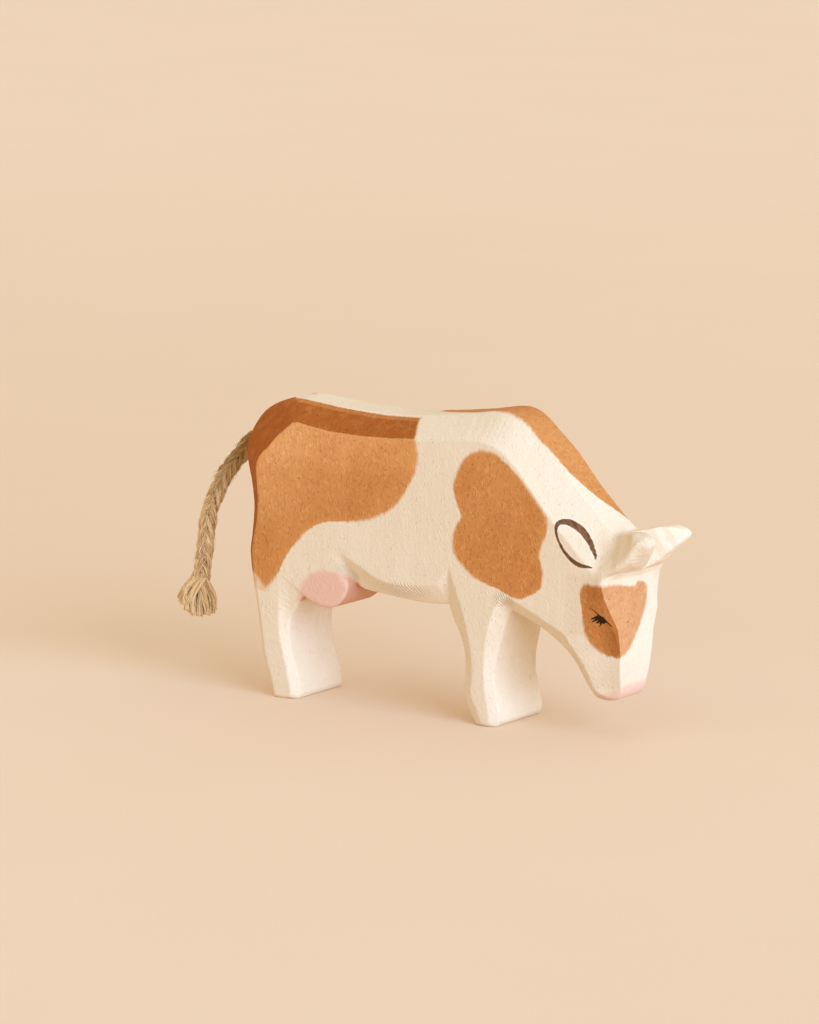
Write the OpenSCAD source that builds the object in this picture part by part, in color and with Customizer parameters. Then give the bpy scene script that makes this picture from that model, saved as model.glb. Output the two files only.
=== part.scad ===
// Wooden cow figure: one carved block, and a cord tail glued into a drilled hole

/* [Block of wood] */
// Length of the board that the figure is sawn from, from the rump to the horns
cow_length = 138.2; // [110:1:170]
// Height of the block at the withers
cow_height = 88.2; // [70:1:110]
// Thickness of the board that the figure is sawn from
board_thickness = 25; // [20:0.5:32]
/* [Knife cuts] */
// How far the deepest edge cut, along the back and the neck, goes in from the side
edge_cut = 6.8; // [5:0.1:8.5]
// How far the fronts of the legs are hollowed
leg_hollow = 0.8; // [0.3:0.1:1.5]
// How far the front of the face bulges
face_crown = 0.9; // [0.3:0.1:1.5]
// Angle at which the cut on each cheek runs in towards the muzzle
cheek_angle = 13; // [8:1:18]
// Angle of each side of the notch between the horns
horn_notch_angle = 34; // [28:1:38]
// Lean of the notch between the horns, back from upright
horn_notch_lean = 20; // [12:1:26]
/* [Tail hole] */
// How far the hole for the tail lies below the top of the withers
tail_drop = 15.2; // [13:0.1:20]
// Width of the drilled hole for the tail
tail_hole_width = 5.7; // [5.5:0.1:6.5]
// Depth of the drilled hole from the rump to its flat bottom
tail_hole_depth = 11; // [8:0.5:16]
// Angle by which the hole points down towards the outside
tail_hole_tilt = 25; // [10:1:30]
/* [Tail cord] */
// Thickness of the plaited cord
cord_width = 5.3; // [4:0.1:5.4]
// How far the glued end of the cord stands out of the rump, along the hole
root_stand = 1.6; // [1.5:0.1:2.5]
// Thickness of the glue under the end of the cord
glue_bottom = 0.6; // [0.3:0.1:1.5]
// How far the glue reaches up round the end of the cord
glue_rise = 5; // [3:0.5:7]
// Length of the opened end of the cord
tuft_length = 11; // [7:0.5:12]
// Width of the opened end of the cord
tuft_width = 10.6; // [8:0.2:13]

/* [Hidden] */

wood_colour = "#f1dfc2";
glue_colour = "#d9c38c";
cord_colour = "#b79a6c";

half_board = board_thickness / 2;
rump_x = -cow_length / 2;
// How many steps a curve takes from one of its stations to the next
curve_steps = 2;
// One overrun for every cut that passes through the wood
overrun = 5;

// The outline of the block and the lines that the knife leaves on its sides.
// Each station holds five shares: the sawn outline's place along the length and up
// the height, the place of the knife's line on the side, and the depth of the edge
// cut there. A list is one smooth stretch, and the corners lie between the lists.
rear_sole_shares = [
    [0.088, 0.000, 0.094, 0.010, 0.10],
    [0.118, 0.000, 0.117, 0.008, 0.06],
    [0.143, 0.000, 0.131, 0.008, 0.28],
];
rear_leg_front_shares = [
    [0.148, 0.014, 0.134, 0.018, 0.30],
    [0.146, 0.055, 0.129, 0.055, 0.31],
    [0.137, 0.100, 0.123, 0.102, 0.31],
    [0.127, 0.148, 0.115, 0.155, 0.31],
    [0.121, 0.200, 0.106, 0.210, 0.31],
    [0.123, 0.255, 0.104, 0.270, 0.30],
    [0.132, 0.282, 0.104, 0.315, 0.27],
    [0.144, 0.308, 0.105, 0.360, 0.17],
    [0.155, 0.330, 0.110, 0.405, 0.08],
];
udder_shares = [
    [0.165, 0.345, 0.160, 0.356, 0.05],
    [0.181, 0.331, 0.183, 0.339, 0.05],
    [0.203, 0.318, 0.205, 0.328, 0.06],
    [0.224, 0.314, 0.225, 0.325, 0.08],
    [0.244, 0.322, 0.243, 0.333, 0.09],
    [0.262, 0.346, 0.260, 0.352, 0.09],
    [0.272, 0.374, 0.273, 0.379, 0.07],
    [0.275, 0.392, 0.280, 0.403, 0.06],
    [0.276, 0.398, 0.272, 0.419, 0.14],
    [0.277, 0.401, 0.261, 0.437, 0.28],
    [0.278, 0.402, 0.252, 0.469, 0.42],
];
belly_shares = [
    [0.279, 0.402, 0.245, 0.509, 0.50],
    [0.283, 0.397, 0.253, 0.503, 0.53],
    [0.289, 0.390, 0.266, 0.493, 0.57],
    [0.301, 0.382, 0.299, 0.471, 0.61],
    [0.321, 0.378, 0.328, 0.446, 0.61],
    [0.352, 0.375, 0.352, 0.430, 0.56],
    [0.400, 0.370, 0.390, 0.420, 0.48],
    [0.450, 0.366, 0.444, 0.424, 0.44],
    [0.495, 0.369, 0.496, 0.440, 0.44],
    [0.512, 0.372, 0.524, 0.498, 0.45],
];
front_leg_back_shares = [
    [0.516, 0.352, 0.531, 0.470, 0.44],
    [0.525, 0.322, 0.541, 0.425, 0.42],
    [0.541, 0.278, 0.558, 0.358, 0.38],
    [0.551, 0.235, 0.570, 0.290, 0.36],
    [0.555, 0.190, 0.578, 0.230, 0.34],
    [0.554, 0.145, 0.581, 0.165, 0.32],
    [0.552, 0.100, 0.578, 0.110, 0.30],
    [0.557, 0.070, 0.582, 0.080, 0.28],
    [0.568, 0.040, 0.592, 0.053, 0.26],
    [0.579, 0.012, 0.601, 0.020, 0.22],
];
front_sole_shares = [
    [0.584, 0.000, 0.604, 0.010, 0.19],
    [0.610, 0.000, 0.612, 0.008, 0.10],
    [0.632, 0.000, 0.619, 0.010, 0.20],
];
front_leg_front_shares = [
    [0.639, 0.014, 0.621, 0.018, 0.21],
    [0.641, 0.040, 0.619, 0.048, 0.22],
    [0.635, 0.085, 0.614, 0.095, 0.23],
    [0.627, 0.140, 0.610, 0.155, 0.25],
    [0.628, 0.200, 0.610, 0.220, 0.28],
    [0.638, 0.265, 0.615, 0.285, 0.33],
    [0.648, 0.325, 0.626, 0.352, 0.39],
    [0.653, 0.366, 0.645, 0.410, 0.50],
];
jaw_shares = [
    [0.656, 0.375, 0.664, 0.425, 0.62],
    [0.680, 0.361, 0.694, 0.406, 0.65],
    [0.712, 0.342, 0.732, 0.380, 0.66],
    [0.744, 0.315, 0.768, 0.353, 0.66],
    [0.772, 0.286, 0.797, 0.331, 0.66],
    [0.794, 0.257, 0.812, 0.305, 0.68],
    [0.811, 0.225, 0.838, 0.272, 0.70],
    [0.823, 0.190, 0.863, 0.240, 0.75],
    [0.833, 0.162, 0.877, 0.216, 0.80],
    [0.841, 0.140, 0.884, 0.200, 0.88],
];
muzzle_shares = [
    [0.850, 0.125, 0.887, 0.190, 0.95],
    [0.866, 0.119, 0.890, 0.182, 1.00],
    [0.886, 0.121, 0.893, 0.180, 1.00],
    [0.900, 0.131, 0.896, 0.184, 0.95],
    [0.907, 0.150, 0.898, 0.196, 0.80],
];
face_shares = [
    [0.909, 0.172, 0.899, 0.204, 0.40],
    [0.910, 0.210, 0.900, 0.216, 0.12],
    [0.912, 0.270, 0.901, 0.270, 0.12],
    [0.911, 0.330, 0.899, 0.330, 0.10],
    [0.909, 0.390, 0.896, 0.390, 0.10],
    [0.907, 0.440, 0.894, 0.440, 0.10],
    [0.910, 0.485, 0.898, 0.490, 0.12],
    [0.917, 0.515, 0.908, 0.520, 0.26],
];
horn_under_shares = [
    [0.926, 0.535, 0.917, 0.532, 0.75],
    [0.947, 0.556, 0.933, 0.556, 1.00],
    [0.963, 0.583, 0.947, 0.586, 0.70],
    [0.978, 0.607, 0.958, 0.611, 0.38],
    [0.991, 0.630, 0.969, 0.634, 0.25],
];
horn_over_shares = [
    [0.9935, 0.642, 0.971, 0.642, 0.24],
    [0.987, 0.654, 0.967, 0.645, 0.26],
    [0.972, 0.662, 0.960, 0.634, 0.28],
    [0.953, 0.665, 0.946, 0.607, 0.34],
    [0.932, 0.660, 0.930, 0.576, 0.50],
    [0.912, 0.652, 0.908, 0.545, 0.75],
    [0.897, 0.648, 0.884, 0.534, 0.95],
];
neck_shares = [
    [0.888, 0.649, 0.863, 0.541, 1.00],
    [0.868, 0.675, 0.834, 0.582, 1.00],
    [0.835, 0.724, 0.798, 0.640, 1.00],
    [0.795, 0.788, 0.757, 0.703, 1.00],
    [0.752, 0.868, 0.715, 0.783, 1.00],
    [0.705, 0.934, 0.683, 0.838, 1.00],
    [0.680, 0.970, 0.659, 0.871, 1.00],
    [0.657, 0.991, 0.640, 0.889, 1.00],
    [0.633, 1.000, 0.621, 0.901, 1.00],
    [0.606, 0.997, 0.600, 0.908, 1.00],
    [0.561, 0.984, 0.560, 0.909, 1.00],
];
back_shares = [
    [0.488, 0.969, 0.488, 0.899, 1.00],
    [0.417, 0.958, 0.420, 0.890, 1.00],
    [0.342, 0.953, 0.344, 0.884, 1.00],
    [0.267, 0.956, 0.271, 0.885, 1.00],
    [0.217, 0.961, 0.224, 0.889, 1.00],
    [0.167, 0.968, 0.184, 0.898, 1.00],
    [0.130, 0.973, 0.152, 0.905, 1.00],
];
rump_shares = [
    [0.104, 0.971, 0.140, 0.902, 1.00],
    [0.083, 0.960, 0.130, 0.889, 0.98],
    [0.062, 0.945, 0.117, 0.871, 0.96],
    [0.040, 0.922, 0.103, 0.852, 0.92],
    [0.022, 0.887, 0.090, 0.833, 0.87],
    [0.009, 0.851, 0.077, 0.813, 0.81],
    [0.001, 0.818, 0.063, 0.791, 0.77],
    [0.000, 0.786, 0.053, 0.768, 0.72],
    [0.007, 0.745, 0.049, 0.740, 0.64],
];
rear_leg_back_shares = [
    [0.018, 0.695, 0.051, 0.700, 0.55],
    [0.028, 0.632, 0.054, 0.640, 0.43],
    [0.031, 0.580, 0.051, 0.585, 0.32],
    [0.030, 0.520, 0.044, 0.525, 0.22],
    [0.027, 0.472, 0.038, 0.475, 0.18],
    [0.032, 0.406, 0.042, 0.408, 0.15],
    [0.043, 0.310, 0.053, 0.310, 0.13],
    [0.053, 0.220, 0.062, 0.220, 0.13],
    [0.058, 0.162, 0.067, 0.163, 0.12],
    [0.066, 0.112, 0.074, 0.115, 0.11],
    [0.076, 0.066, 0.084, 0.070, 0.10],
    [0.085, 0.018, 0.092, 0.024, 0.10],
];

// The half width that the cheek cuts leave, as shares of half the board, against
// heights as shares of the figure's height
cheek_shares = [
    [0.46, 0.06],
    [0.50, 0.16],
    [0.58, 0.20],
    [0.635, 0.24],
    [0.67, 0.28],
    [0.74, 0.33],
    [0.83, 0.36],
    [0.93, 0.39],
    [1.02, 0.43],
];
// Where along the length the cheek cuts have those half widths
cheek_front_share = 0.908;
// Where the notch between the horns has its point: along the length and up the height
notch_shares = [0.922, 0.560];
// How long the notch is, as a share of the figure's height
notch_reach_share = 0.4;

// A place on the cut across the udder's far lower corner: along the length, across
// the board and up the height
udder_cut_shares = [0.229, 0.58, 0.318];
// The way that cut faces: round from the head, and down from level
udder_cut_turn = 50;
udder_cut_slope = 48;
// How far the cut reaches to each side of that place
udder_cut_reach = 4;

// Half widths of the opened end against the distance along it, as shares
tuft_shares = [
    [1.00, 0.62],
    [0.98, 0.76],
    [0.80, 0.93],
    [0.46, 1.00],
];
tuft_waist_share = 0.30;
tuft_lean = 9;

// Middle of the cord's mouth: the plane where its free stretch begins
hole_out = [-cos(tail_hole_tilt), 0, -sin(tail_hole_tilt)];
hole_mouth = [rump_x, 0, cow_height - tail_drop];
root_end = hole_mouth + root_stand * hole_out;
cord_radius = cord_width / 2;
cord_sides = 10;
// The cord takes a ring at every second point of its route
ring_step = 2;
// Route of the hanging stretch, from the middle of its mouth
cord_route = [
    [0, 0, 0],
    [-2, 0, -1],
    [-4, 0, -3],
    [-6, 0, -5.5],
    [-8.5, 0, -8],
    [-10.5, 0, -10.5],
    [-12.5, 0, -13],
    [-14, 0, -16],
    [-15.5, 0, -19],
    [-17, 0, -22],
    [-18, 0, -25.5],
    [-18.5, 0, -29],
    [-19, 0, -33],
    [-19.5, 0, -37],
    [-20, 0, -41],
    [-20.5, 0, -43.5],
];

// A smooth curve through stations, at share t of the way from b to c
function curve_point(a, b, c, d, t) =
    b + (c - a) * t / 2
    + (2 * a - 5 * b + 4 * c - d) * t * t / 2
    + (3 * b - a - 3 * c + d) * t * t * t / 2;

// All points of a smooth stretch
function smooth_stretch(rows) = [
    for (i = [0 : len(rows) - 2])
        for (s = [0 : curve_steps - 1])
            curve_point(
                rows[max(i - 1, 0)],
                rows[i],
                rows[i + 1],
                rows[min(i + 2, len(rows) - 1)],
                s / curve_steps
            ),
    rows[len(rows) - 1],
];

// The same stretch with its hollow, which fades out at both ends
function carved_stretch(rows, hollow) =
    let (points = smooth_stretch(rows), last = len(points) - 1)
    [for (i = [0 : last]) concat(points[i], [hollow * sin(180 * i / last)])];

// One station in millimetres: outline x and z, side x and z, half width, hollow
function station(s) = [
    rump_x + s[0] * cow_length,
    s[1] * cow_height,
    rump_x + s[2] * cow_length,
    s[3] * cow_height,
    half_board - s[4] * edge_cut,
    s[5]
];

stations = [
    for (s = concat(
        carved_stretch(rear_sole_shares, 0),
        carved_stretch(rear_leg_front_shares, leg_hollow),
        carved_stretch(udder_shares, 0),
        carved_stretch(belly_shares, 0),
        carved_stretch(front_leg_back_shares, 0),
        carved_stretch(front_sole_shares, 0),
        carved_stretch(front_leg_front_shares, leg_hollow),
        carved_stretch(jaw_shares, 0),
        carved_stretch(muzzle_shares, 0),
        carved_stretch(face_shares, -face_crown),
        carved_stretch(horn_under_shares, 0),
        carved_stretch(horn_over_shares, 0),
        carved_stretch(neck_shares, 0),
        carved_stretch(back_shares, 0),
        carved_stretch(rump_shares, 0),
        carved_stretch(rear_leg_back_shares, 0)
    )) station(s)
];

// Shares of the half width at which the outline's band has its points
band_shares = [-1, -0.5, 0, 0.5, 1];

// Inward direction of the outline at a station
function inward(i) =
    let (
        n = len(stations),
        a = stations[(i + n - 1) % n],
        b = stations[(i + 1) % n],
        d = [b[0] - a[0], b[1] - a[1]]
    ) [-d[1], d[0]] / norm(d);

// The points across the block at one station, from the near side to the far side
function ring(i) =
    let (s = stations[i], way = inward(i))
    concat(
        [[s[2], -half_board, s[3]]],
        [for (b = band_shares)
            let (sink = s[5] * (1 - b * b))
            [s[0] + way[0] * sink, b * s[4], s[1] + way[1] * sink]],
        [[s[2], half_board, s[3]]]
    );

// How far c lies to the left of the line from a to b
function turn(a, b, c) =
    (b[0] - a[0]) * (c[1] - a[1]) - (b[1] - a[1]) * (c[0] - a[0]);

// Whether p lies in the triangle a, b, c
function inside(p, a, b, c) =
    turn(a, b, p) >= 0 && turn(b, c, p) >= 0 && turn(c, a, p) >= 0;

// The corners round place i of a loop
function corner(loop, i) =
    let (n = len(loop)) [loop[(i + n - 1) % n], loop[i % n], loop[(i + 1) % n]];

// Whether the corner at place i can be cut off a loop of points
function is_ear(loop, i, pts) =
    let (c = corner(loop, i))
    turn(pts[c[0]], pts[c[1]], pts[c[2]]) > 0
    && len([for (k = loop)
        if (k != c[0] && k != c[1] && k != c[2]
            && inside(pts[k], pts[c[0]], pts[c[1]], pts[c[2]])) k]) == 0;

function next_ear(loop, i, pts) =
    is_ear(loop, i, pts) ? i % len(loop) : next_ear(loop, i + 1, pts);

// Triangles that fill a loop: its corners are cut off one after another
function ears(loop, pts, from = 0, done = []) =
    len(loop) == 3 ? concat(done, [loop])
    : let (i = next_ear(loop, from, pts))
    ears(
        [for (k = [0 : len(loop) - 1]) if (k != i) loop[k]],
        pts,
        i + 1,
        concat(done, [corner(loop, i)])
    );

// The skin of the block: the sawn outline, the edge cuts and the two flat sides
module carved_skin() {
    count = len(stations);
    across = len(band_shares) + 2;
    points = [for (i = [0 : count - 1]) each ring(i)];
    band_faces = [
        for (i = [0 : count - 1])
            for (k = [0 : across - 2])
                let (
                    j = (i + 1) % count,
                    a = i * across + k,
                    b = i * across + k + 1,
                    c = j * across + k + 1,
                    d = j * across + k
                )
                each [[a, c, b], [a, d, c]]
    ];
    side_outline = [for (s = stations) [s[2], s[3]]];
    side_triangles = ears([for (i = [0 : count - 1]) i], side_outline);
    near_faces = [for (t = side_triangles) across * [t[2], t[1], t[0]]];
    far_faces = [for (t = side_triangles) across * t + (across - 1) * [1, 1, 1]];
    polyhedron(points, concat(band_faces, near_faces, far_faces), convexity = 10);
}

// The wood that the knife takes off one cheek, seen along the head
module cheek_cut(side) {
    front_x = rump_x + cheek_front_share * cow_length;
    outside = half_board + overrun;
    outline = concat(
        [for (p = cheek_shares) [p[0] * half_board, p[1] * cow_height]],
        [[outside, cheek_shares[len(cheek_shares) - 1][1] * cow_height]],
        [[outside, cheek_shares[0][1] * cow_height]]
    );
    translate([front_x, 0, 0])
        mirror([0, side < 0 ? 1 : 0, 0])
            rotate([0, 0, -cheek_angle])
                rotate([90, 0, 90])
                    translate([0, 0, -board_thickness])
                        linear_extrude(board_thickness + half_board)
                            polygon(outline);
}

// The notch that parts the two horns
module horn_notch() {
    reach = notch_reach_share * cow_height;
    wide = reach * tan(horn_notch_angle);
    translate([rump_x + notch_shares[0] * cow_length, 0, notch_shares[1] * cow_height])
        rotate([0, -horn_notch_lean, 0])
            translate([0, 0, -reach / 2])
                linear_extrude(reach)
                    polygon([[0, 0], [reach, -wide], [reach, wide]]);
}

// The wood that the knife takes off the udder's far lower corner
module udder_cut() {
    translate([
        rump_x + udder_cut_shares[0] * cow_length,
        udder_cut_shares[1] * half_board,
        udder_cut_shares[2] * cow_height
    ])
        rotate([0, 0, udder_cut_turn])
            rotate([0, udder_cut_slope, 0])
                translate([0, -half_board, -udder_cut_reach])
                    cube([half_board, board_thickness, 2 * udder_cut_reach]);
}

// Turns a shape that stands on z = 0 to run along the tail hole, out of the rump
module along_hole() {
    translate(hole_mouth)
        rotate([0, -90 - tail_hole_tilt, 0])
            children();
}

// The carved and drilled block
module cow_body() {
    color(wood_colour)
        difference() {
            carved_skin();
            cheek_cut(-1);
            cheek_cut(1);
            horn_notch();
            udder_cut();
            along_hole()
                translate([0, 0, -tail_hole_depth])
                    cylinder(h = tail_hole_depth + overrun, d = tail_hole_width, $fn = 48);
        }
}

// Cured glue: a cup round the end of the cord, at the bottom of the hole
module tail_glue() {
    color(glue_colour)
        along_hole()
            translate([0, 0, -tail_hole_depth])
                difference() {
                    cylinder(h = glue_bottom + glue_rise, d = tail_hole_width, $fn = 48);
                    translate([0, 0, glue_bottom])
                        cylinder(h = glue_rise + overrun, d = cord_width, $fn = 48);
                }
}

// The stretch of the cord that the glue holds
module tail_root() {
    color(cord_colour)
        along_hole()
            translate([0, 0, glue_bottom - tail_hole_depth])
                cylinder(h = tail_hole_depth - glue_bottom + root_stand, d = cord_width, $fn = 48);
}

// Points of the route at which the cord has a ring
cord_stops = [
    for (i = [0 : ring_step : len(cord_route) - 2]) cord_route[i],
    cord_route[len(cord_route) - 1],
];
tuft_out = [-sin(tuft_lean), 0, -cos(tuft_lean)];

// Direction of the cord at one of its rings
function cord_way(i) =
    let (
        last = len(cord_stops) - 1,
        d = i == 0 ? hole_out
            : i == last ? tuft_out
            : cord_stops[i + 1] - cord_stops[i - 1]
    ) d / norm(d);

// A ring of points round the cord
function cord_ring(i) =
    let (way = cord_way(i), up = cross(way, [0, 1, 0]))
    [for (s = [0 : cord_sides - 1])
        let (place = 360 * s / cord_sides)
        root_end + cord_stops[i]
        + cord_radius * (cos(place) * up + sin(place) * [0, 1, 0])];

// The hanging stretch of the cord
module tail_cord() {
    rings = len(cord_stops);
    points = [for (i = [0 : rings - 1]) each cord_ring(i)];
    walls = [
        for (i = [0 : rings - 2])
            for (s = [0 : cord_sides - 1])
                let (
                    t = (s + 1) % cord_sides,
                    a = i * cord_sides + s,
                    b = i * cord_sides + t,
                    c = b + cord_sides,
                    d = a + cord_sides
                )
                each [[a, c, d], [a, b, c]]
    ];
    first = [for (s = [cord_sides - 1 : -1 : 0]) s];
    final = [for (s = [0 : cord_sides - 1]) (rings - 1) * cord_sides + s];
    color(cord_colour)
        polyhedron(points, concat(walls, [first, final]), convexity = 4);
}

// The end of the cord, where the plait is opened to a brush
module tail_tuft() {
    wide = tuft_width / 2;
    outline = concat(
        [[0, 0], [cord_radius, 0], [cord_radius, tuft_waist_share * cord_width]],
        [for (i = [0 : len(tuft_shares) - 1])
            let (p = tuft_shares[i])
            [p[0] * wide, p[1] * tuft_length]],
        [[0, tuft_length]]
    );
    color(cord_colour)
        translate(root_end + cord_route[len(cord_route) - 1])
            rotate([0, 180 + tuft_lean, 0])
                rotate_extrude($fn = 48)
                    polygon(outline);
}

cow_body();
tail_glue();
tail_root();
tail_cord();
tail_tuft();
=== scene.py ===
"""A hand-carved wooden cow with stained patches and a plaited cord tail, on pale paper."""
import math
import random

import bmesh
import bpy
import numpy as np
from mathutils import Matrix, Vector
from mathutils.bvhtree import BVHTree


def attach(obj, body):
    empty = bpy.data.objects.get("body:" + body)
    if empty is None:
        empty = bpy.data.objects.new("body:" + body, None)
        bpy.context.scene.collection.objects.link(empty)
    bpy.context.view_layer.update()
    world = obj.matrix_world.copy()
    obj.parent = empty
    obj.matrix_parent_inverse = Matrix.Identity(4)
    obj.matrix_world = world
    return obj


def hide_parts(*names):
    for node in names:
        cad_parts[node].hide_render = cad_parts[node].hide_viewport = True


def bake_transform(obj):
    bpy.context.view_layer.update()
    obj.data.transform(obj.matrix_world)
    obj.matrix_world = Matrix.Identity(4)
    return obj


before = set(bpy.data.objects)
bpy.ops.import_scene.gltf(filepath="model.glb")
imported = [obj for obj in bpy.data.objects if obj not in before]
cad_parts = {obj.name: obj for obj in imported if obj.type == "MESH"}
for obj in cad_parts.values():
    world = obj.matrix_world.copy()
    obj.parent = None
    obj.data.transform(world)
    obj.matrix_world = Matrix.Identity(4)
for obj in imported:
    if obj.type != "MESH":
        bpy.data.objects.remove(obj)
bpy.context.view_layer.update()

MM = 0.001
SEED = 7
scene = bpy.context.scene


# The camera, the paper and the light

VIEW_AZIMUTH = math.radians(34.21)
VIEW_ELEVATION = math.radians(9.89)
CAMERA_PLACE = (0.8126, -1.2220, 0.31315)
SENSOR_WIDTH = 36
LENS = 187.3

PAPER_RADIUS = 9.0
PAPER_SIDES = 96
PAPER_RELIEF = 0.04 * MM
PAPER_ROUGHNESS = 0.9
PAPER_GLOSS = 0.2
PAPER_CLOUD = ((9, 9, 9), 3.0, 0.55)
PAPER_FIBRES = ((900, 900, 900), 3.0, 0.6)
PAPER_CLOUD_RANGE = (0.3, 0.7, 0.3, 0.7)
PAPER_FIBRE_RANGE = (0.35, 0.65, 0.05)
PAPER = (0.877, 0.693, 0.518, 1)
PAPER_DULL = (0.857, 0.673, 0.498, 1)
PAPER_FIBRE = (0.79, 0.60, 0.44, 1)
PAPER_SEEN_FAR = (0.86, 0.66, 0.483, 1)
# Painted shade: the paper is darker in a band beyond the cow, which starts and ends softly, in metres
PAPER_PAINTED_SHADE = (0.955, 0.932, 0.89, 1)
BAND_OUTWARD = (-0.562, 0.827)
BAND_ALONG = (0.827, 0.562)
BAND_START = (0.03, 0.14)
BAND_END = (1.7, 0.4)
BAND_FADES = (0.16, -0.1)
BAND_LEAST = 0.5

SKY_LIGHT = (1.0, 0.888, 0.732, 1)
SKY_STRENGTH = 0.847
KEY_LIGHT = (0.70, 1.02, 1.54)
KEY_STRENGTH = 2.47
KEY_WIDTH = math.radians(44)
KEY_FROM = (0.908, -0.330, 0.259)


def aimed(back):
    """The turn that points a camera or a lamp away from the direction it stands in."""
    return Vector(back).to_track_quat("Z", "Y").to_euler()


def set_camera():
    """The camera, which looks a little down on the cow from its front left."""
    level = math.cos(VIEW_ELEVATION)
    back = (math.sin(VIEW_AZIMUTH) * level, -math.cos(VIEW_AZIMUTH) * level, math.sin(VIEW_ELEVATION))
    data = bpy.data.cameras.new("camera")
    data.sensor_fit = "AUTO"
    data.sensor_width = SENSOR_WIDTH
    data.lens = LENS
    camera = bpy.data.objects.new("camera", data)
    camera.location = CAMERA_PLACE
    camera.rotation_euler = aimed(back)
    scene.collection.objects.link(camera)
    scene.camera = camera


def set_key_light():
    """A wide lamp from the right, which makes the soft shadow."""
    lamp = bpy.data.lights.new("key", "SUN")
    lamp.energy = KEY_STRENGTH
    lamp.color = KEY_LIGHT
    lamp.angle = KEY_WIDTH
    key = bpy.data.objects.new("key", lamp)
    key.rotation_euler = aimed(KEY_FROM)
    scene.collection.objects.link(key)


def set_studio():
    """Soft light from all round, which looks like more paper where it is seen itself."""
    world = bpy.data.worlds.new("studio")
    world.use_nodes = True
    world.node_tree.nodes.clear()
    mixer = Mixer(world.node_tree)
    rays = mixer.add("LightPath").outputs
    seen = mixer.sum("MAXIMUM", rays["Is Camera Ray"], rays["Is Glossy Ray"])
    seen = mixer.sum("MAXIMUM", seen, rays["Is Transmission Ray"])
    light = mixer.add("Background", (), {"Color": SKY_LIGHT, "Strength": SKY_STRENGTH})
    backdrop = mixer.add("Background", (), {"Color": PAPER_SEEN_FAR, "Strength": 1.0})
    either = mixer.add("MixShader", (), {0: seen, 1: light.outputs[0], 2: backdrop.outputs[0]})
    mixer.add("OutputWorld", (), {"Surface": either.outputs[0]})
    scene.world = world


# The tail's route, in millimetres, as the part's source has it

ROOT_END = (-70.55, 0.0, 72.324)
HOLE_OUTWARD = (-0.9063, 0.0, -0.4226)
GLUED_LENGTH = 10.6
ROUTE_STEPS = [
    (0, 0), (-2, -1), (-4, -3), (-6, -5.5), (-8.5, -8), (-10.5, -10.5), (-12.5, -13), (-14, -16),
    (-15.5, -19), (-17, -22), (-18, -25.5), (-18.5, -29), (-19, -33), (-19.5, -37), (-20, -41),
    (-20.5, -43.5),
]
GLUED_STOPS = (1.0, 0.75, 0.5, 0.25)


def cord_route():
    """Points of the cord's middle line, from its glued end to where the brush begins."""
    root = np.array(ROOT_END)
    inward = -np.array(HOLE_OUTWARD)
    glued = [root + inward * GLUED_LENGTH * share for share in GLUED_STOPS]
    free = [root + np.array((x, 0.0, z)) for x, z in ROUTE_STEPS]
    return np.array(glued + free)


def rounded(points, parts, closed=False):
    """A smooth line through the points, with a number of parts between each pair."""
    points = np.asarray(points, float)
    count = len(points)
    made = []
    spans = count if closed else count - 1
    for i in range(spans):
        if closed:
            a, b, c, d = (points[(i + k) % count] for k in (-1, 0, 1, 2))
        else:
            b, c = points[i], points[i + 1]
            a = points[i - 1] if i else 2 * b - c
            d = points[i + 2] if i + 2 < count else 2 * c - b
        for k in range(parts):
            t = k / parts
            made.append(0.5 * (2 * b + (c - a) * t + (2 * a - 5 * b + 4 * c - d) * t * t
                               + (3 * b - a - 3 * c + d) * t ** 3))
    if not closed:
        made.append(points[-1])
    return np.array(made)


def even_steps(points, step):
    """The same line with its points an even step apart, and the step's direction at each."""
    runs = np.linalg.norm(np.diff(points, axis=0), axis=1)
    reach = np.concatenate([[0], np.cumsum(runs)])
    count = max(2, int(round(reach[-1] / step)))
    wanted = np.linspace(0, reach[-1], count + 1)
    line = np.stack([np.interp(wanted, reach, points[:, k]) for k in range(3)], axis=1)
    heading = np.gradient(line, axis=0)
    heading /= np.linalg.norm(heading, axis=1)[:, None]
    return line, heading, wanted


# Small helpers for materials

FLECK_WIDTH = 0.085
FLECK_CORE_SHARE = 0.15
FLECK_DETAIL = (1.0, 0.4)
GAP_SCALE_SHARE = 0.72
GAP_DETAIL = (0.0, 0.4)
GAP_TURN = (1.3, 0.0, 0.7)
GAP_RANGE = (0.47, 0.58)


def side_turn(degrees):
    """A pattern's turn in the side view."""
    return (0.0, math.radians(degrees), 0.0)


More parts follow.
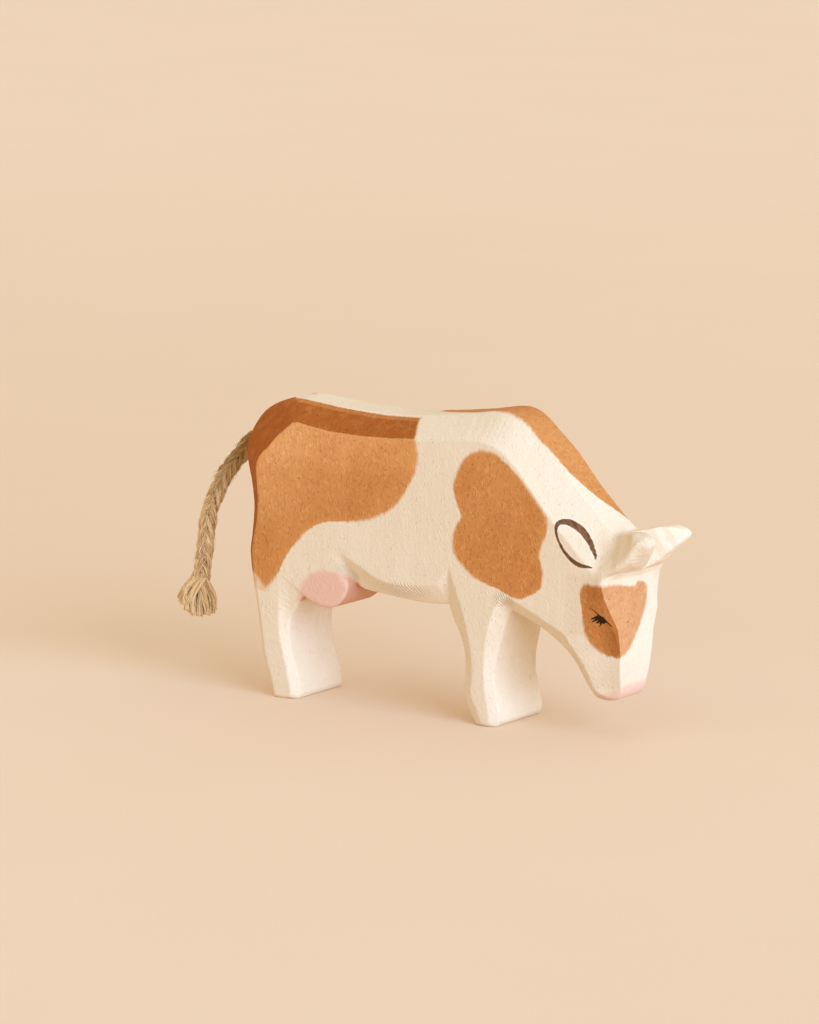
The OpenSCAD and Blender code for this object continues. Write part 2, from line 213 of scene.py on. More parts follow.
class Mixer:
    """Adds nodes to one material and joins them."""

    def __init__(self, tree):
        self.tree = tree

    def add(self, kind, settings=(), values=()):
        node = self.tree.nodes.new("ShaderNode" + kind)
        for name, value in dict(settings).items():
            setattr(node, name, value)
        for name, value in dict(values).items():
            self.give(node.inputs[name], value)
        return node

    def give(self, socket, value):
        if isinstance(value, bpy.types.NodeSocket):
            self.tree.links.new(value, socket)
        else:
            socket.default_value = value

    def sum(self, operation, a, b=0.0, c=0.0, clamp=False):
        node = self.add("Math", {"operation": operation, "use_clamp": clamp})
        for socket, value in zip(node.inputs, (a, b, c)):
            self.give(socket, value)
        return node.outputs[0]

    def product(self, first, *others):
        for other in others:
            first = self.sum("MULTIPLY", first, other)
        return first

    def between(self, value, low, high, start=0.0, end=1.0):
        """Goes from start to end as the value goes from low to high, eased at both ends."""
        node = self.add("MapRange", {"interpolation_type": "SMOOTHSTEP"})
        for name, number in (("Value", value), ("From Min", low), ("From Max", high),
                             ("To Min", start), ("To Max", end)):
            self.give(node.inputs[name], number)
        return node.outputs[0]

    def shaken(self, value, noise, size):
        """The value moved up and down by a noise."""
        return self.sum("MULTIPLY_ADD", self.sum("SUBTRACT", noise, 0.5), size, value)

    def blend(self, share, a, b, way="MIX"):
        node = self.add("Mix", {"data_type": "RGBA", "blend_type": way})
        self.give(node.inputs[0], share)
        self.give(node.inputs[6], a)
        self.give(node.inputs[7], b)
        return node.outputs[2]

    def layer(self, under, pattern, low, high, share, tone, way="MIX"):
        """A tone that comes in as the pattern goes from low to high, up to its share."""
        return self.blend(self.between(pattern, low, high, 0.0, share), under, tone, way)

    def coordinates(self):
        return self.add("TexCoord").outputs["Object"]

    def axes(self):
        """The piece's own x, y and z, in metres."""
        return self.add("SeparateXYZ", (), {"Vector": self.coordinates()}).outputs

    def heading(self, direction):
        """How far each point lies along a level direction."""
        axes = self.axes()
        return self.sum("MULTIPLY_ADD", axes["Y"], direction[1], self.product(axes["X"], direction[0]))

    def grain(self, scale, detail=2.0, roughness=0.5, turn=(0.0, 0.0, 0.0)):
        """Noise whose scale is given in spots per metre along each axis."""
        where = self.coordinates()
        if any(turn):
            where = self.add("Mapping", (), {"Vector": where, "Rotation": turn}).outputs[0]
        where = self.add("Mapping", (), {"Vector": where, "Scale": scale}).outputs[0]
        noise = self.add("TexNoise", (), {"Vector": where, "Scale": 1.0, "Detail": detail,
                                          "Roughness": roughness, "Distortion": 0.0})
        return noise.outputs["Fac"]

    def flecks(self, scale, turn):
        """Short thin strokes: the line where a noise passes its middle, broken up by another."""
        line = self.grain(scale, *FLECK_DETAIL, turn)
        line = self.sum("ABSOLUTE", self.sum("SUBTRACT", line, 0.5))
        gap_scale = tuple(GAP_SCALE_SHARE * s for s in scale)
        gaps = self.grain(gap_scale, *GAP_DETAIL, tuple(a + b for a, b in zip(turn, GAP_TURN)))
        return self.product(self.between(line, FLECK_WIDTH, FLECK_WIDTH * FLECK_CORE_SHARE),
                            self.between(gaps, *GAP_RANGE))

    def reading(self, name):
        """What painted() wrote on the mesh under a name."""
        settings = {"attribute_type": "GEOMETRY", "attribute_name": name}
        return self.add("Attribute", settings).outputs["Fac"]


def new_material(name):
    """A material with its mixer, and its shader joined to its output."""
    material = bpy.data.materials.new(name)
    material.use_nodes = True
    tree = material.node_tree
    tree.nodes.clear()
    mixer = Mixer(tree)
    shader = mixer.add("BsdfPrincipled")
    out = mixer.add("OutputMaterial")
    tree.links.new(shader.outputs[0], out.inputs["Surface"])
    return material, mixer, shader


def raised(mixer, shader, height, depth):
    """Relief from a height pattern, as deep as is given in metres."""
    bump = mixer.add("Bump", (), {"Strength": 1.0, "Distance": depth, "Height": height})
    mixer.give(shader.inputs["Normal"], bump.outputs[0])


def paper():
    """Beige paper with faint clouds and fibres, and painted shade in a band beyond the cow."""
    material, mixer, shader = new_material("beige paper")
    cloud = mixer.grain(*PAPER_CLOUD)
    fibre = mixer.grain(*PAPER_FIBRES)
    tone = mixer.blend(mixer.between(cloud, *PAPER_CLOUD_RANGE), PAPER_DULL, PAPER)
    tone = mixer.layer(tone, fibre, *PAPER_FIBRE_RANGE, PAPER_FIBRE)
    # A band of painted shade on the paper beyond the cow
    beyond = mixer.heading(BAND_OUTWARD)
    band = mixer.product(mixer.between(beyond, *BAND_START), mixer.between(beyond, *BAND_END),
                         mixer.between(mixer.heading(BAND_ALONG), *BAND_FADES, BAND_LEAST))
    tone = mixer.blend(band, tone, PAPER_PAINTED_SHADE, "MULTIPLY")
    mixer.give(shader.inputs["Base Color"], tone)
    shader.inputs["Roughness"].default_value = PAPER_ROUGHNESS
    shader.inputs["Specular IOR Level"].default_value = PAPER_GLOSS
    raised(mixer, shader, fibre, PAPER_RELIEF)
    return material


def lay_paper():
    """The sheet that the cow stands on."""
    bm = bmesh.new()
    bmesh.ops.create_circle(bm, cap_ends=True, segments=PAPER_SIDES, radius=PAPER_RADIUS)
    mesh = bpy.data.meshes.new("paper")
    bm.to_mesh(mesh)
    bm.free()
    sheet = bpy.data.objects.new("paper", mesh)
    mesh.materials.append(paper())
    scene.collection.objects.link(sheet)


# The carved block

VOXEL = 0.4 * MM
SAME_PLACE = 0.001 * MM
BLOCK_TRIANGLES = 186000
SANDING_ROUNDS = 2
SANDING_SHARE = 0.5
HALF_THICK = 12.5

# The forehead, in millimetres: where it starts and is full, and where it ends again
BROW_BOTTOM = (28, 41)
BROW_TOP = (45, 51)
BROW_FRONT = (47, 55)
BROW_NEAR = (1, 10)
BROW_NEAR_CUT = 2.6
BROW_FAR = (0, 9)
BROW_FAR_REACH = 0.5


def merged_block():
    """The CAD block's own mesh with its doubles joined."""
    bm = bmesh.new()
    bm.from_mesh(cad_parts["cow_body"].data)
    bmesh.ops.remove_doubles(bm, verts=bm.verts, dist=SAME_PLACE)
    surface = BVHTree.FromBMesh(bm)
    mesh = bpy.data.meshes.new("block")
    bm.to_mesh(mesh)
    bm.free()
    return mesh, surface


def modified(mesh, kind, settings):
    """The mesh as a modifier leaves it."""
    holder = bpy.data.objects.new("work", mesh)
    scene.collection.objects.link(holder)
    modifier = holder.modifiers.new("work", kind)
    for name, value in settings.items():
        setattr(modifier, name, value)
    graph = bpy.context.evaluated_depsgraph_get()
    made = bpy.data.meshes.new_from_object(holder.evaluated_get(graph), depsgraph=graph)
    bpy.data.objects.remove(holder)
    return made


def places(mesh):
    """The mesh's points as rows of x, y and z."""
    co = np.empty(len(mesh.vertices) * 3, np.float32)
    mesh.vertices.foreach_get("co", co)
    return co.reshape(-1, 3).astype(float)


def put_places(mesh, co):
    mesh.vertices.foreach_set("co", co.astype(np.float32).ravel())
    mesh.update()


def neighbours(mesh):
    """The mesh's edges, and how many of them meet at each point."""
    edges = np.empty(len(mesh.edges) * 2, np.int32)
    mesh.edges.foreach_get("vertices", edges)
    edges = edges.reshape(-1, 2)
    counts = np.bincount(edges.ravel(), minlength=len(mesh.vertices)).astype(float)
    return edges, np.maximum(counts, 1)


def eased(co, edges, counts, rounds, share):
    """Points drawn towards the middle of their neighbours."""
    share = np.asarray(share, float)
    for _ in range(rounds):
        total = np.stack([
            np.bincount(edges[:, 0], co[edges[:, 1], k], len(co))
            + np.bincount(edges[:, 1], co[edges[:, 0], k], len(co)) for k in range(3)], axis=1)
        pull = total / counts[:, None] - co
        co = co + pull * (share[:, None] if share.ndim else share)
    return co


def fade(value, low, high):
    """0 to 1 as the value goes from low to high, eased at both ends."""
    t = np.clip((value - low) / (high - low), 0, 1)
    return t * t * (3 - 2 * t)


def set_back_brow(mm):
    """The near side of the forehead was cut further back than the far side."""
    x, y, z = mm.T
    height = fade(z, *BROW_BOTTOM) * (1 - fade(z, *BROW_TOP))
    front = fade(x, *BROW_FRONT)
    near = fade(-y, *BROW_NEAR)
    far = fade(y, *BROW_FAR)
    out = mm.copy()
    out[:, 0] += height * front * (BROW_FAR_REACH * far - BROW_NEAR_CUT * near)
    return out


# The hollow at the near horn's root: the crease under it in the side view, and where it runs out
HORN_CREASE = ((52.0, 48.1), (63.8, 56.1))
HOLLOW_DEPTH = 1.2
HOLLOW_WIDTH = 3.2
HOLLOW_RUNOUT = (HOLLOW_WIDTH + 0.4, HOLLOW_WIDTH + 3.0)
HOLLOW_START = (-1.5, 2.0)
HOLLOW_TAPER = 4.0
HOLLOW_SIDE = (3.5, 6.0)


def horn_hollow(mm):
    """The knife hollowed the near horn's root, above a crease that runs up to its tip."""
    start, end = np.array(HORN_CREASE)
    length = np.linalg.norm(end - start)
    run = (end - start) / length
    offset = mm[:, [0, 2]] - start
    along = offset @ run
    above = offset @ np.array((-run[1], run[0]))
    depth = np.clip(above / HOLLOW_WIDTH, 0, 1) * (1 - fade(above, *HOLLOW_RUNOUT))
    depth = depth * fade(along, *HOLLOW_START) * (1 - fade(along, length - HOLLOW_TAPER, length))
    depth = depth * fade(-mm[:, 1], *HOLLOW_SIDE)
    out = mm.copy()
    out[:, 1] += HOLLOW_DEPTH * depth
    return out


# The step between the thigh and the cut under the belly, in the side view
UDDER_STEP = [(-36.0, 46.5), (-35.0, 44.0), (-33.0, 40.2), (-30.8, 37.2)]
STEP_PARTS = 6
STEP_REACH = 3.2
STEP_CORE_SHARE = 0.35
STEP_SIDE = (4, 7)
STEP_ROUNDS = 60

# The udder's far lower corner
CORNER_SIDE = (6.5, 9)
CORNER_REAR = (-48, -45)
CORNER_FRONT = (-34, -31.5)
CORNER_TOP = (31, 33)
CORNER_ROUNDS = 24


def beside_udder(mm):
    """How much the step beside the udder is sanded at each point."""
    line = rounded(UDDER_STEP, STEP_PARTS)
    side = mm[:, [0, 2]]
    gap = np.min([np.linalg.norm(side - p, axis=1) for p in line], axis=0)
    return (1 - fade(gap, STEP_REACH * STEP_CORE_SHARE, STEP_REACH)) * fade(-mm[:, 1], *STEP_SIDE)


def far_under_udder(mm):
    """How much the udder's far lower corner is sanded at each point."""
    x, y, z = mm.T
    inside = fade(y, *CORNER_SIDE) * fade(x, *CORNER_REAR) * (1 - fade(x, *CORNER_FRONT))
    return inside * (1 - fade(z, *CORNER_TOP))


def carved_block():
    """The CAD block with its edges sanded and the last knife cuts made."""
    mesh, surface = merged_block()
    mesh = modified(mesh, "REMESH", {"mode": "VOXEL", "voxel_size": VOXEL})
    co = np.array([surface.find_nearest(Vector(p))[0] for p in places(mesh)], float)
    edges, counts = neighbours(mesh)
    co = eased(co, edges, counts, SANDING_ROUNDS, SANDING_SHARE)
    co = horn_hollow(set_back_brow(co / MM)) * MM
    co = eased(co, edges, counts, STEP_ROUNDS, SANDING_SHARE * beside_udder(co / MM))
    co = eased(co, edges, counts, CORNER_ROUNDS, SANDING_SHARE * far_under_udder(co / MM))
    put_places(mesh, co)
    triangles = sum(len(p.vertices) - 2 for p in mesh.polygons)
    return modified(mesh, "DECIMATE", {"ratio": BLOCK_TRIANGLES / triangles})


# What is painted on the block: outlines in millimetres, x along the cow and z up

OUTLINE_PARTS = 4
FACE_PARTS = 3
EAR_PARTS = 2
LASH_PARTS = 1
REAR_PATCH = [
    (-75, 66), (-75, 80), (-66, 92), (-50, 96), (-30, 94), (-9.6, 90), (-9.9, 84.2), (-9.3, 81.7),
    (-8.2, 79.6), (-7.6, 77.3), (-7.1, 74.6), (-7.2, 71.8), (-8.1, 69.0), (-10.0, 65.5), (-12.5, 61.6),
    (-15.5, 58.7), (-19.7, 56.2), (-25.3, 54.2), (-30.3, 53.4), (-37.0, 52.7), (-40.3, 51.8),
    (-43.8, 50.0), (-47.2, 47.0), (-50.7, 43.2), (-53.1, 39.5), (-54.6, 36.6), (-56.5, 34.0),
    (-58.3, 32.0), (-59.4, 31.8), (-61.2, 33.4), (-64.0, 35.6), (-72, 39.5), (-75, 50),
]
SHOULDER_PATCH = [
    (14.4, 77.6), (18.7, 77.2), (22.6, 74.7), (25.6, 72.2), (28.6, 69.2), (31.2, 66.4), (34.1, 63.0),
    (35.8, 60.4), (35.7, 57.2), (34.9, 54.9), (33.7, 52.0), (33.4, 50.0), (34.4, 46.3), (34.5, 43.5),
    (33.5, 40.9), (30.3, 38.6), (27.0, 37.4), (23.8, 37.9), (20.4, 39.3), (16.5, 40.3), (12.1, 41.8),
    (8.8, 44.2), (5.8, 47.1), (4.7, 50.4), (5.0, 53.3), (6.3, 56.4), (7.6, 58.5), (6.4, 61.2), (5.5, 63.8),
    (5.0, 66.6), (5.9, 70.2), (7.3, 73.1), (9.4, 75.5), (12.0, 77.1),
]
UDDER_PINK = [
    (-47.8, 30.2), (-45.5, 35.1), (-43.1, 37.1), (-37.6, 38.5), (-33.4, 38.1), (-31.0, 36.6), (-29.5, 33.5),
    (-30.5, 29.0), (-36.3, 25.0), (-41.3, 25.0), (-46.5, 27.0),
]
# The brush ran out of stain below the rear patch and left a thin wash
THIN_WASH = [
    (-66.0, 36.5), (-63.7, 35.4), (-60.5, 33.2), (-57.6, 31.2), (-59.0, 30.1), (-62.4, 30.9),
    (-66.0, 31.5),
]
# The far side's neck patch begins as a wedge on the back: where it starts across, at each x
NECK_EDGE_X = [-8.9, 4.2, 16.0, 21.0, 25.8, 29.2, 32.4, 35.6, 38.2, 40.3, 42.6, 44.8, 46.9, 49.0, 51.2]
NECK_EDGE_Y = [1.9, -3.1, -5.9, -6.1, -5.9, -6.0, -5.8, -5.7, -4.7, -2.9, -1.4, 0.3, 2.2, 4.1, 5.7]
NECK_FAR_SIDE = [
    (-8.9, 84), (-9.5, 92), (10, 100), (40, 95), (58, 70), (55, 57), (49, 54.5), (44, 57), (39, 55),
    (37, 49), (31, 45), (22, 46), (14, 50), (8, 57), (3, 65), (-2, 73), (-6, 79),
]
# How far out from the middle the rear patch and the bare rim inside it begin, at each x
REAR_EDGE_X = [-62, -57, -53, -41, -10]
REAR_EDGE_Y = [-3.0, 1.2, 5.5, 5.8, 6.4]
BARE_RIM_X = [-62, -57, -52, -10]
BARE_RIM_Y = [-3.0, 3.0, 6.7, 7.4]
# Round the rump, below a height, the patch hangs lower in the middle than at the sides
RUMP_HANG = 2.4
RUMP_HANG_BELOW = 50
RUMP_END = (-62, -55)
# The forehead's ridge: x and y at each height
RIDGE_Z = [14.2, 17.2, 25.9, 31.5, 36.0, 40.1, 43.6]
RIDGE_X = [56.4, 56.4, 57.2, 57.0, 56.4, 54.7, 53.4]
RIDGE_Y = [-6.1, -7.3, -8.6, -9.3, -11.6, -12.5, -12.5]
FACE_PATCH = [
    (46.6, -12.5, 39.3), (46.9, -12.5, 42.1), (48.2, -12.5, 43.7), (49.8, -12.5, 43.8), (53.1, -12.5, 43.6),
    (57.0, -8.4, 43.4), (57.0, -1.3, 42.5), (57.2, 0.5, 43.4), (57.1, 3.2, 43.2), (56.9, 5.2, 41.8),
    (56.8, 5.9, 38.8), (57.1, 4.4, 35.8), (57.5, 1.8, 32.6), (57.6, -1.6, 28.4), (57.6, -4.0, 25.7),
    (57.3, -7.7, 23.8), (55.6, -8.6, 23.5), (52.8, -9.3, 24.1), (50.2, -10.3, 25.9), (48.4, -11.1, 28.1),
    (48.0, -12.5, 31.6), (47.3, -12.5, 36.0),
]
MUZZLE_X = [44.0, 47.0, 50.4, 53.4, 56.4]
MUZZLE_TOP = [12.0, 12.6, 14.0, 15.0, 15.5]
MUZZLE_NEAR_DROP = 0.9
MUZZLE_NEAR_END = (-1.0, 1.5)
# Each ear is an upper and a lower brush stroke, with half its width at each point
EAR_UPPER = [
    (38.7, 57.8), (38.9, 59.2), (39.4, 59.9), (40.4, 60.1), (41.8, 60.0), (43.4, 59.2), (45.2, 58.0),
    (46.9, 56.3), (48.3, 54.6), (49.5, 52.6), (50.3, 50.7),
]
EAR_LOWER = [
    (38.7, 57.7), (39.0, 56.5), (39.8, 54.6), (40.9, 52.9), (42.4, 51.3), (44.1, 49.9), (46.4, 48.9),
    (48.4, 48.7), (50.2, 48.5),
]
EAR_UPPER_WIDTH = [0.46, 0.6, 0.7, 0.76, 0.8, 0.82, 0.8, 0.74, 0.62, 0.46, 0.2]
EAR_LOWER_WIDTH = [0.46, 0.44, 0.42, 0.46, 0.56, 0.64, 0.64, 0.46, 0.16]
LASH_LINE = [(49.9, 37.5), (52.8, 35.7), (54.7, 34.2), (55.9, 32.6)]
LASH_LINE_WIDTH = [0.06, 0.17, 0.26, 0.08]
# Each lash: its root, its tip, and half its width at both
LASHES = [
    ((52.8, 35.4), (50.5, 34.4), 0.42, 0.2), ((53.2, 35.1), (50.8, 33.7), 0.5, 0.17),
    ((53.8, 34.8), (52.1, 33.4), 0.55, 0.2), ((54.2, 34.4), (52.9, 33.3), 0.5, 0.2),
    ((53.7, 33.9), (52.5, 32.3), 0.24, 0.08), ((54.5, 34.1), (53.9, 33.4), 0.4, 0.2),
]


NEXT_TO_NOTHING = 1e-12


def depth_inside(points, outline):
    """How far each point lies inside a closed outline, below 0 outside it."""
    ring = np.asarray(outline, float)
    after = np.roll(ring, -1, axis=0)
    best = np.full(len(points), np.inf)
    inside = np.zeros(len(points), bool)
    for a, b in zip(ring, after):
        side = b - a
        offset = points - a
        t = np.clip(offset @ side / max(side @ side, NEXT_TO_NOTHING), 0, 1)
        best = np.minimum(best, np.linalg.norm(offset - t[:, None] * side, axis=1))
        crosses = (a[1] > points[:, 1]) != (b[1] > points[:, 1])
        rise = NEXT_TO_NOTHING if b[1] == a[1] else b[1] - a[1]
        reach = a[0] + (points[:, 1] - a[1]) * (b[0] - a[0]) / rise
        inside ^= crosses & (points[:, 0] < reach)
    return np.where(inside, best, -best)


def unrolled(x, y, z):
    """How far round the forehead's ridge a point lies: below 0 on the cheek."""
    return (x - np.interp(z, RIDGE_Z, RIDGE_X)) + (y - np.interp(z, RIDGE_Z, RIDGE_Y))


# How far out from the middle, and how far forward, some areas begin
SHOULDER_FROM_Y = 9.0
WASH_FROM_Y = 10.5
FACE_FAR_FROM_X = 53.5
FACE_FAR_Y = -2
HEAD_FROM_X = 44.0
FOREHEAD_TOP = 47.0
MUZZLE_FROM_X = 43.0
SECOND_COAT_INSET = 0.25
STEP_SHADE_TOP = (38.5, 43)
# How crisp an edge is where it crosses the thickness, with the outline's own edge as 1
REAR_CRISP = 2.5
NECK_CRISP = 1.6
SECOND_COAT_CRISP = 1.4
RIM_CRISP = 1.2
WASH_CRISP = 0.7
DEPTH_LIMIT = 9


def rump_hang(x, y, z):
    """How much lower the stain runs in the middle of the rump."""
    hang = RUMP_HANG * np.sin(math.pi * (y + HALF_THICK) / (2 * HALF_THICK)) * (1 - fade(x, *RUMP_END))
    return np.where(z < RUMP_HANG_BELOW, hang, 0)


def stained_areas(x, y, z, round_face):
    """The areas that hold stain: rump, shoulder, neck and face, and the thin wash below the rump."""
    side = np.stack([x, z + rump_hang(x, y, z)], axis=1)
    across = np.abs(y)

    def inside(outline):
        return depth_inside(side, rounded(outline, OUTLINE_PARTS, True))

    rear = np.minimum(inside(REAR_PATCH), (across - np.interp(x, REAR_EDGE_X, REAR_EDGE_Y)) * REAR_CRISP)
    shoulder = np.minimum(inside(SHOULDER_PATCH), -y - SHOULDER_FROM_Y)
    neck_edge = np.interp(x, NECK_EDGE_X, NECK_EDGE_Y)
    neck = np.minimum(inside(NECK_FAR_SIDE), (y - neck_edge) * NECK_CRISP)
    face_outline = [(float(unrolled(*p)), p[2]) for p in FACE_PATCH]
    face = depth_inside(np.stack([round_face, z], axis=1), rounded(face_outline, FACE_PARTS, True))
    face = np.minimum(face, x - np.where(y > FACE_FAR_Y, FACE_FAR_FROM_X, HEAD_FROM_X))
    return {
        "stained": np.maximum.reduce([rear, shoulder, neck, face]),
        "second_coat": np.minimum(rear, (HALF_THICK - across) * SECOND_COAT_CRISP - SECOND_COAT_INSET),
        "rim": (np.interp(x, BARE_RIM_X, BARE_RIM_Y) - across) * RIM_CRISP,
        "wash": np.minimum(inside(THIN_WASH), (-y - WASH_FROM_Y) * WASH_CRISP),
        "udder": inside(UDDER_PINK),
    }


def painted(mesh):
    """Writes how deep each point lies inside each painted area, in millimetres."""
    mm = places(mesh) / MM
    x, y, z = mm.T
    round_face = unrolled(x, y, z)
    areas = stained_areas(x, y, z, round_face)
    areas["forehead"] = np.minimum.reduce([round_face, x - HEAD_FROM_X, FOREHEAD_TOP - z])
    drop = MUZZLE_NEAR_DROP * (1 - fade(round_face, *MUZZLE_NEAR_END))
    muzzle = np.interp(x, MUZZLE_X, MUZZLE_TOP) - drop - z
    areas["muzzle"] = np.minimum(muzzle, x - MUZZLE_FROM_X)
    # The step beside the udder carries painted shade, which fades out towards its top
    areas["step"] = beside_udder(mm) * (1 - fade(z, *STEP_SHADE_TOP))
    for name, depth in areas.items():
        layer = mesh.attributes.new(name, "FLOAT", "POINT")
        layer.data.foreach_set("value", np.clip(depth, -DEPTH_LIMIT, DEPTH_LIMIT).astype(np.float32))


# Wood, stain and ink

CREAM = (0.825, 0.685, 0.50, 1)
LATE_WOOD = (0.72, 0.54, 0.35, 1)
PALE_FIBRE = (0.88, 0.765, 0.60, 1)
HORN_PALE = (0.925, 0.77, 0.59, 1)
STAIN = (0.605, 0.237, 0.060, 1)
STAIN_DEEP = (0.52, 0.186, 0.041, 1)
STAIN_THIN = (0.72, 0.325, 0.105, 1)
SECOND_COAT = (0.395, 0.098, 0.009, 1)
PEACH = (0.655, 0.315, 0.135, 1)
LIGHTER = (1.18, 1.3, 1.55, 1)
DARKER = (0.70, 0.58, 0.46, 1)
# Painted shade for the near cheek and muzzle
CHEEK_PAINTED_SHADE = (0.66, 0.53, 0.40, 1)
PORE = (0.55, 0.44, 0.34, 1)
UDDER = (0.80, 0.475, 0.36, 1)
# The udder's pink with painted shade, for its front
UDDER_PAINTED_SHADE = (0.635, 0.29, 0.16, 1)
NOSE = (0.78, 0.46, 0.36, 1)
EAR_INK = (0.10, 0.033, 0.010, 1)
EAR_INK_DRY = (0.27, 0.115, 0.045, 1)
EYE_INK = (0.016, 0.008, 0.003, 1)
# Painted shade for the step beside the udder
SHADED = (0.80, 0.775, 0.74, 1)
INK_COVER = 0.97
WOOD_GLOSS = 0.08
WOOD_ROUGHNESS = (0.3, 0.7, 0.6, 0.72)
WOOD_RELIEF = 0.09 * MM

# Bare wood: where a pattern starts to bring in its tone, where it is full, and its share
CLOUD_PALE = (0.35, 0.7, 0.35)
LINES_DARK = (0.56, 0.72, 0.14)
FIBRES_DARK = (0.5, 0.75, 0.1)
FIBRES_PALE = (0.5, 0.3, 0.2)
FLECKS_PALE = 0.22
PORES_DARK = 0.35
MARKS_DARK = 0.42
HORN_PALE_SHARE = 0.8
PORE_RANGE = (0.745, 0.82)

# The painted shade on the near cheek and muzzle, by how far round the forehead's ridge a point lies, in
# millimetres
CHEEK_REACH = (-8.5, -0.4, 0.32, 1.0)
CHEEK_STOP = (0.2, -0.1)
CHEEK_ON_WOOD = 0.3

# Stain: ranges of a pattern or, for an edge, of the depth inside it in millimetres, then the share
SOAKED_DEEP = (0.3, 0.6, 0.32, 0.0)
POOLS_THIN = (0.42, 0.66, 0.3)
EDGE_THIN = (1.8, 0.2, 0.25)
RUMP_THIN = 0.75
FOREHEAD_PEACH = (-0.1, 0.4, 0.85)
FIBRES_LIGHTER = (0.5, 0.72, 0.25)
FLECKS_LIGHTER = 0.65
UPRIGHT_DARKER = 0.3
PORES_IN_STAIN = 0.6
STAIN_RAGGED = 1.15
STAIN_CRISPNESS = (0.35, 0.65, 0.2, 0.8)
STAIN_EDGE = (-1.0, 1.0, 0.985)
WASH_EDGE = (-0.3, 0.5)
WASH_STREAKS = (0.3, 0.65, 0.12, 0.5)
COAT_RAGGED = 0.8
COAT_STREAKS = (0.42, 0.72, 0.36)
COAT_EDGE = (-0.1, 0.3, 0.0, 0.97)
COAT_RIM = (-0.3, 0.2, 1.0, 0.55)
COAT_LINE_OUT = (-0.6, -0.25)
COAT_LINE_IN = (0.05, -0.15)
COAT_LINE_SHARE = (0.0, 0.8)

# Pink and ink: the same, with how ragged each edge is
UDDER_RAGGED = 3.0
UDDER_EDGE = (-1.1, 0.9, 0.87)
MUZZLE_RAGGED = 3.6
MUZZLE_EDGE = (-0.7, 1.7, 0.75)
EAR_HALO = (0.8, 0.2, 0.0, 0.5)
EAR_DRY = (0.38, 0.62, 0.8)
EAR_RAGGED = 0.4
EAR_EDGE = (0.1, -0.14, 0.0, INK_COVER)
EYE_EDGE = (0.06, -0.06, 0.0, INK_COVER)

# Relief: how high each pattern stands, and how much less the strokes show on unstained wood
WETTED = (-0.4, 0.4, 0.55, 1.0)
FIBRE_HEIGHT = 0.35
FINE_HEIGHT = 0.35
SLANT_HEIGHT = 0.8
UPRIGHT_HEIGHT = -0.7
PORE_HEIGHT = -0.8
MARK_HEIGHT = -1.0

# Where the knife left rows of fine grooves: their middle, how far they reach along and up, their spacing
KNIFE_MARKS = [((-12.5, 35.5), 10.0, 2.8, 1.1), ((21.8, 36.6), 4.2, 2.8, 0.8)]
MARKS_LEAN = 0.6
MARKS_WAVER = 2.6
MARKS_END = (1.1, 0.3)

# The growth rings: their spacing, how they lean with depth and height, and how far they drift
RING_SPACING = 4.7 * MM
RING_LEAN = 0.22
RING_CLIMB = 0.06
RING_DRIFT = 14 * MM
RING_RISE = (0.2, 0.93)
RING_FALL = (1.0, 0.93)
FLANK_RINGS = 0.06
HEAD_RINGS = 0.42

# Three darker growth bands cross the far horn on a slant: where they lie, half their width, their share
HORN_BANDS = [(81.0, 1.0, 0.5), (84.4, 0.6, 0.3), (77.4, 0.5, 0.22)]
HORN_BAND_SLANT = (0.852, 0.524)
HORN_BAND_WAVER = 1.5
HORN_BAND_SOFT = 0.4

# Where a tone belongs to one part of the cow only, in metres: where it starts and where it is full
HEAD_X = (49 * MM, 55 * MM)
HEAD_Z = (44 * MM, 49 * MM)
HORN_X = (51 * MM, 56 * MM)
HORN_Y = (0.0, 3 * MM)
HORN_Z = (47 * MM, 52 * MM)
RUMP_X = (-38 * MM, -58 * MM)
RUMP_Z = (46 * MM, 60 * MM)
CHEEK_X = (41 * MM, 44 * MM)
CHEEK_Z = (48 * MM, 45 * MM)
COAT_LINE_Z = (64 * MM, 74 * MM)
# Where the udder's painted shade starts and is full across
UDDER_SHADE_Y = (-12.4 * MM, -10.8 * MM)
SIDE_Y = (6.0 * MM, 6.2 * MM)


def stroke_group():
    """A brush stroke from one point to another: how far outside it a point lies, in millimetres."""
    tree = bpy.data.node_groups.new("brush stroke", "ShaderNodeTree")
    for name in ("Place", "Start", "Run"):
        tree.interface.new_socket(name, in_out="INPUT", socket_type="NodeSocketVector")
    for name in ("Per Length", "Width", "Gain", "Best"):
        tree.interface.new_socket(name, in_out="INPUT", socket_type="NodeSocketFloat")
    tree.interface.new_socket("Outside", in_out="OUTPUT", socket_type="NodeSocketFloat")
    mixer = Mixer(tree)
    given = tree.nodes.new("NodeGroupInput").outputs
    taken = tree.nodes.new("NodeGroupOutput").inputs

    def vector(operation, a, b, scale=None):
        node = mixer.add("VectorMath", {"operation": operation})
        mixer.give(node.inputs[0], a)
        if b is not None:
            mixer.give(node.inputs[1], b)
        if scale is not None:
            mixer.give(node.inputs["Scale"], scale)
        return node

    offset = vector("SUBTRACT", given["Place"], given["Start"]).outputs[0]
    along = vector("DOT_PRODUCT", offset, given["Run"]).outputs["Value"]
    share = mixer.sum("MULTIPLY", along, given["Per Length"], clamp=True)
    reach = vector("SCALE", given["Run"], None, share).outputs[0]
    off = vector("DISTANCE", offset, reach).outputs["Value"]
    width = mixer.sum("MULTIPLY_ADD", share, given["Gain"], given["Width"])
    outside = mixer.sum("SUBTRACT", off, width)
    mixer.give(taken["Outside"], mixer.sum("MINIMUM", outside, given["Best"]))
    return tree


FAR_OFF = 99.0


def strokes(mixer, group, place, lines):
    """How far outside a set of brush strokes each point of the side view lies."""
    best = FAR_OFF
    for start, end, first, last in lines:
        run = (end[0] - start[0], 0.0, end[1] - start[1])
        node = mixer.add("Group", {"node_tree": group}, {
            "Place": place, "Start": (start[0], 0.0, start[1]), "Run": run,
            "Per Length": 1 / (run[0] ** 2 + run[2] ** 2), "Width": first, "Gain": last - first,
            "Best": best})
        best = node.outputs[0]
    return best


